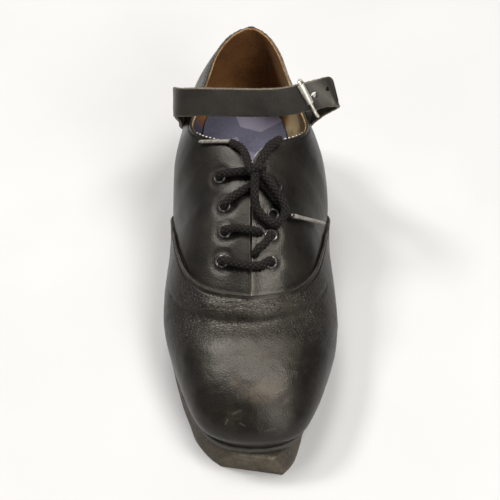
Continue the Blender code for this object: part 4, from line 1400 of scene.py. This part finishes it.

# %% [markdown]
# Black leather is never quite black: it has a warm grey bloom, fine pores, and lighter rubs and scratches.
# Noise could scatter these marks, but on a worn shoe each has its place. So the vamp keeps its own rub and
# scratch numbers, and the marks sit where the tables put them.

# %% Black leather
def leather_finish(name, edge_name, with_marks):
    f = Finish(name)
    bloom, mottle = f.speckle(38.0, 4.0, 0.6), f.speckle(260.0, 4.0, 0.6)
    pores, fine = f.cells(1250.0), f.speckle(2600.0, 2.0)
    wrinkle = f.speckle(520.0, 4.0, 0.6, 0.6, f.stretched((1.0, 2.2, 2.2)))
    tone = f.mixed(f.span(bloom, 0.35, 0.7), (0.003, 0.0026, 0.0021), (0.0065, 0.0054, 0.0042))
    tone = f.mixed(f.span(mottle, 0.45, 0.75, 0.0, 0.5), tone, (0.0125, 0.0103, 0.0078))
    rough = f.span(bloom, 0.3, 0.7, 0.31, 0.42)
    normal = f.bumped(wrinkle, 0.0004, 0.14)
    if with_marks:
        rub = f.times(f.number("rub"), f.span(mottle, 0.3, 0.62, 0.35, 1.0))
        tone = f.mixed(f.times(rub, 0.55), tone, (0.10, 0.080, 0.058))
        line = f.times(f.number("scratch"), f.span(fine, 0.35, 0.6))
        tone = f.mixed(f.times(line, 0.75), tone, (0.20, 0.185, 0.16))
        rough = f.maths("ADD", rough, f.times(rub, 0.16))
        split = f.cells(520.0, "DISTANCE_TO_EDGE", f.stretched((0.8, 1.5, 1.2), (0.0, 0.0, 0.25)))
        crack = f.times(f.maths("SUBTRACT", 1.0, f.span(split, 0.0, 0.16)), f.number("crack"))
        normal = f.bumped(f.times(crack, -1.0), 0.0005, 0.45, normal)
    worn = f.span(f.number(edge_name), 0.1, 0.7, 0.42, 0.0)
    worn = f.times(worn, f.span(mottle, 0.3, 0.65, 0.35, 1.0))
    normal = f.bumped(pores, 0.00022, 0.34, normal)
    f.shade(
        Base_Color=f.mixed(worn, tone, (0.11, 0.095, 0.075)), Roughness=rough,
        Normal=f.bumped(fine, 0.0001, 0.35, normal), Specular_IOR_Level=0.38, Specular_Tint=WARM_GLOSS,
        Coat_Weight=0.04, Coat_Roughness=0.28,
    )
    return f


leather_finish("vamp_black_leather", "edge", True).dress(vamp)
leather_finish("quarter_black_leather", "rim", False).dress(*quarters)

# %% [markdown]
# The straps have a duller, finer leather, and raw brown fibres show along their cut edges. The
# strap keeps a number that says how near the edge a point is, because a place in space could not
# tell the edge from the face.

# %% Strap leather
def strap_finish():
    f = Finish("strap_black_leather")
    bloom, fibres, pores = f.speckle(55.0, 4.0, 0.6), f.speckle(700.0, 5.0, 0.7), f.cells(1500.0)
    tone = f.mixed(f.span(bloom, 0.3, 0.7), (0.0045, 0.004, 0.0033), (0.011, 0.0096, 0.0076))
    cut = f.times(f.number("cut"), f.span(fibres, 0.3, 0.62, 0.25, 1.0))
    f.shade(
        Base_Color=f.mixed(cut, tone, (0.13, 0.10, 0.068)),
        Roughness=f.maths("ADD", f.span(bloom, 0.3, 0.7, 0.36, 0.46), f.times(cut, 0.35)),
        Normal=f.bumped(pores, 0.00016, 0.4, f.bumped(fibres, 0.0003, 0.25)),
        Specular_IOR_Level=0.7, Specular_Tint=WARM_GLOSS, Coat_Weight=0.05, Coat_Roughness=0.3,
    )
    return f


strap_finish().dress(long_strap, short_strap)

# %% [markdown]
# Inside, the heel is lined with brown suede and the front with cloth, which is painted navy as shade, darker
# than the insole's cloth. They could be separate pieces, but the change between them hardly shows, so one
# piece changes its colour by the place along the shoe and the distance from the rim. The insole's cloth is
# lavender, with darker patches of painted shadow that have straight edges, and the cells of a Voronoi texture
# are just that.

# %% Lining and insole
def lining_finish():
    f = Finish("lining_suede_and_cloth")
    nap, stain = f.speckle(900.0, 5.0, 0.7), f.speckle(45.0, 4.0, 0.6)
    y, rim, patches = f.axis("Y"), f.number("rim"), f.span(stain, 0.3, 0.7)
    suede = f.mixed(patches, (0.10, 0.038, 0.010), (0.23, 0.098, 0.030))
    suede = f.mixed(f.span(nap, 0.3, 0.7, 0.0, 0.6), suede, (0.30, 0.135, 0.045))
    # The cloth below the tan band is painted navy, darker than the insole's cloth: painted shade low inside
    # the shoe.
    cloth = f.mixed(patches, (0.024, 0.026, 0.05), (0.058, 0.057, 0.095))
    tan = f.mixed(f.span(stain, 0.38, 0.62), (0.12, 0.078, 0.030), (0.42, 0.32, 0.17))
    band = f.maths("ADD", rim, f.span(stain, 0.3, 0.7, -1.5, 1.5))
    corner = f.span(f.axis("X"), 0.018, 0.024, 0.0, 60.0)
    front = f.mixed(f.span(f.maths("SUBTRACT", band, corner), 7.5, 9.0), tan, cloth)
    front = f.mixed(f.span(y, 0.024, 0.030, 1.0, 0.0), front, (0.010, 0.009, 0.008))
    tone = f.mixed(f.span(y, 0.094, 0.106), front, suede)
    raw = f.times(f.span(band, 0.2, 2.6, 1.0, 0.0), f.span(nap, 0.38, 0.6, 0.1, 1.0))
    raw = f.times(raw, f.span(y, 0.024, 0.030))
    raw_tone = f.mixed(f.span(stain, 0.35, 0.65), (0.17, 0.085, 0.035), (0.36, 0.23, 0.115))
    f.shade(
        Base_Color=f.mixed(raw, tone, raw_tone), Roughness=0.88, Normal=f.bumped(nap, 0.0005, 0.6),
        Specular_IOR_Level=0.2, Sheen_Weight=0.08, Sheen_Roughness=0.5, Sheen_Tint=(1.0, 0.7, 0.4),
    )
    return f


def insole_finish():
    f = Finish("insole_lavender_cloth")
    stain, fluff = f.speckle(32.0, 4.0, 0.6), f.speckle(1300.0, 4.0, 0.6)
    weave = f.node("TexWave", {"Scale": 520.0, "Distortion": 1.2, "Vector": f.place}, "Fac")
    tone = f.mixed(f.span(stain, 0.3, 0.7), (0.105, 0.098, 0.145), (0.17, 0.157, 0.21))
    # Darker cells with straight edges are painted shadow on the lavender insole.
    painted_shadow_cells = f.node("SeparateColor", {0: f.cells(42.0, result="Color")})
    tone = f.mixed(f.span(painted_shadow_cells, 0.25, 0.8, 0.0, 0.75), tone, (0.030, 0.034, 0.062))
    f.shade(
        Base_Color=f.mixed(f.span(fluff, 0.4, 0.75, 0.0, 0.3), tone, (0.20, 0.19, 0.24)),
        Roughness=0.82, Sheen_Weight=0.2,
        Normal=f.bumped(fluff, 0.0003, 0.4, f.bumped(weave, 0.0002, 0.3)),
    )
    return f


def tape_finish():
    f = Finish("throat_pale_cloth")
    threadbare, stain = f.speckle(1100.0, 4.0, 0.65), f.speckle(180.0, 4.0, 0.6)
    tone = f.mixed(f.span(stain, 0.3, 0.7), (0.08, 0.085, 0.12), (0.36, 0.36, 0.39))
    f.shade(
        Base_Color=f.mixed(f.span(threadbare, 0.45, 0.7, 0.0, 0.6), tone, (0.45, 0.45, 0.46)),
        Roughness=0.8, Normal=f.bumped(threadbare, 0.0004, 0.5),
    )
    return f


tape_finish().dress(*tapes)
lining_finish().dress(lining)
insole_finish().dress(insole)

# %% [markdown]
# The tip and heel are hard resin, ground flat by the floor. The front face of the tip is paler than
# its sides and worn along its top edge. Each face could have a material of its own, but wear has
# soft borders, so masks read where a point lies: how near the floor, and how near the front face.
# The sole's edge shows the layers of its leather.

# %% Resin and sole
TIP_EDGE_LOW, TIP_EDGE_HIGH = 0.0144, 0.0151


def resin_finish(name, front):
    f = Finish(name)
    smear = f.speckle(70.0, 5.0, 0.65, place=f.stretched((1.0, 1.0, 3.0)))
    grit, stain = f.speckle(900.0, 4.0, 0.65), f.speckle(210.0, 5.0, 0.7)
    scrape = f.speckle(420.0, 3.0, 0.6, place=f.stretched((0.25, 3.0, 6.0), (0.0, 0.5, 0.3)))
    streak = f.speckle(420.0, 4.0, 0.65, place=f.stretched((2.6, 2.6, 0.4)))
    z = f.axis("Z")
    tone = f.mixed(f.span(smear, 0.3, 0.7), (0.018, 0.0145, 0.010), (0.062, 0.050, 0.034))
    tone = f.mixed(f.span(streak, 0.5, 0.7, 0.0, 0.6), tone, (0.115, 0.094, 0.068))
    low = f.times(f.span(z, 0.0005, 0.006, 0.75, 0.0), f.span(grit, 0.35, 0.65))
    tone = f.mixed(low, tone, (0.13, 0.108, 0.08))
    tone = f.mixed(f.span(scrape, 0.58, 0.72, 0.0, 0.5), tone, (0.12, 0.10, 0.074))
    if front:
        depth = f.node("VectorMath", {0: f.place, 1: TIP_FACE_WAY}, "Value", operation="DOT_PRODUCT")
        face = float(TIP_FACE_AT @ TIP_FACE_WAY)
        rasped = f.mixed(f.span(stain, 0.32, 0.68), (0.048, 0.037, 0.024), (0.10, 0.080, 0.056))
        tone = f.mixed(f.span(depth, face + 0.0004, face + 0.0016, 1.0, 0.0), tone, rasped)
        edge = f.span(depth, face + 0.001, face + 0.003, 1.0, 0.0)
        edge = f.times(edge, f.span(z, TIP_EDGE_LOW, TIP_EDGE_HIGH))
        chip = f.times(edge, f.span(stain, 0.34, 0.62, 0.35, 0.9))
        chip = f.times(chip, f.span(grit, 0.34, 0.6, 0.45, 1.0))
        tone = f.mixed(chip, tone, (0.17, 0.15, 0.118))
    normal = f.bumped(scrape, 0.0004, 0.35, f.bumped(stain, 0.0008, 0.35))
    f.shade(
        Base_Color=tone, Roughness=f.span(smear, 0.3, 0.7, 0.42, 0.62),
        Normal=f.bumped(grit, 0.0003, 0.35, normal), Specular_IOR_Level=0.34, Specular_Tint=WARM_GLOSS,
    )
    return f


def sole_finish():
    f = Finish("outsole_dark_leather")
    layers = f.speckle(500.0, 4.0, 0.6, place=f.stretched((0.3, 0.3, 4.0)))
    grit = f.speckle(700.0, 4.0, 0.65)
    tone = f.mixed(f.span(layers, 0.3, 0.7), (0.024, 0.020, 0.016), (0.055, 0.047, 0.036))
    f.shade(
        Base_Color=f.mixed(f.span(grit, 0.55, 0.75, 0.0, 0.5), tone, (0.07, 0.058, 0.045)),
        Roughness=f.span(grit, 0.3, 0.7, 0.5, 0.7), Normal=f.bumped(layers, 0.0004, 0.3),
    )
    return f


resin_finish("tip_ground_resin", True).dress(tip)
resin_finish("heel_ground_resin", False).dress(heel)
sole_finish().dress(outsole)

# %% [markdown]
# Worn nickel is a metal with dull clouds, and a clean one would look new. The eyelets are black
# enamel with bare spots. Lace and thread are fibres, and the lace is darker between its strands,
# where little light gets in.

# %% Metal, lace and thread
def steel_finish():
    f = Finish("buckle_worn_nickel")
    dull = f.speckle(300.0, 4.0, 0.6)
    hair = f.speckle(900.0, 2.0, place=f.stretched((0.2, 4.0, 4.0), (0.2, 0.4, 0.9)))
    f.shade(
        Base_Color=f.mixed(f.span(dull, 0.35, 0.7), (0.84, 0.80, 0.71), (0.55, 0.50, 0.42)),
        Metallic=0.75, Roughness=f.span(dull, 0.3, 0.7, 0.3, 0.5), Normal=f.bumped(hair, 0.0001, 0.25),
    )
    return f


def eyelet_finish():
    f = Finish("eyelet_black_enamel")
    wear = f.speckle(420.0, 4.0, 0.65)
    f.shade(
        Base_Color=f.mixed(f.span(wear, 0.5, 0.66), (0.02, 0.019, 0.018), (0.42, 0.40, 0.36)),
        Metallic=f.span(wear, 0.5, 0.66, 0.0, 0.9), Roughness=f.span(wear, 0.3, 0.7, 0.34, 0.46),
        Normal=f.bumped(wear, 0.0002, 0.2),
    )
    return f


def thread_finish(name, dark, light, braided=False):
    f = Finish(name)
    fibre, shade = f.speckle(2400.0, 3.0, 0.6), f.speckle(130.0, 3.0, 0.6)
    tone = f.mixed(f.span(shade, 0.3, 0.7), dark, light)
    if braided:
        # Painted shade: the braid is darker where a strand dips between the others.
        tone = f.mixed(f.span(f.number("strand"), 0.4, 0.92), [0.12 * c for c in dark], tone)
    f.shade(
        Base_Color=f.mixed(f.span(fibre, 0.5, 0.75, 0.0, 0.4), tone, [2.2 * c for c in light]),
        Roughness=0.8, Specular_IOR_Level=0.22, Sheen_Weight=0.03, Normal=f.bumped(fibre, 0.0003, 0.55),
    )
    return f


def aglet_finish():
    f = Finish("aglet_grey_film")
    haze = f.speckle(500.0, 4.0, 0.6)
    f.shade(
        Base_Color=f.mixed(f.span(haze, 0.35, 0.65), (0.12, 0.11, 0.095), (0.25, 0.23, 0.20)),
        Roughness=f.span(haze, 0.3, 0.7, 0.3, 0.5), Normal=f.bumped(haze, 0.0002, 0.3),
    )
    return f


steel_finish().dress(*buckle)
eyelet_finish().dress(*eyelets)
aglet_finish().dress(*aglets.values())
thread_finish("lace_black_braid", (0.006, 0.0046, 0.0032), (0.016, 0.012, 0.0082), True).dress(*laces)
pale = [piece for piece in threads if piece.name.startswith("lining")]
thread_finish("lining_pale_thread", (0.42, 0.40, 0.36), (0.55, 0.53, 0.48)).dress(*pale)
dark = [piece for piece in threads if piece not in pale]
thread_finish("seam_black_thread", (0.008, 0.007, 0.0056), (0.017, 0.0145, 0.012)).dress(*dark)

# %% [markdown]
# The floor is pale and plain. One flat colour would look unreal, so its grey changes, but hardly,
# and nothing draws the eye from the shoe.

# %% Floor finish
paper = Finish("pale_floor")
grain = paper.span(paper.speckle(9.0, 3.0, 0.5), 0.3, 0.7)
paper.shade(Base_Color=paper.mixed(grain, (0.53, 0.528, 0.52), (0.55, 0.548, 0.54)), Roughness=0.75)
paper.dress(floor)
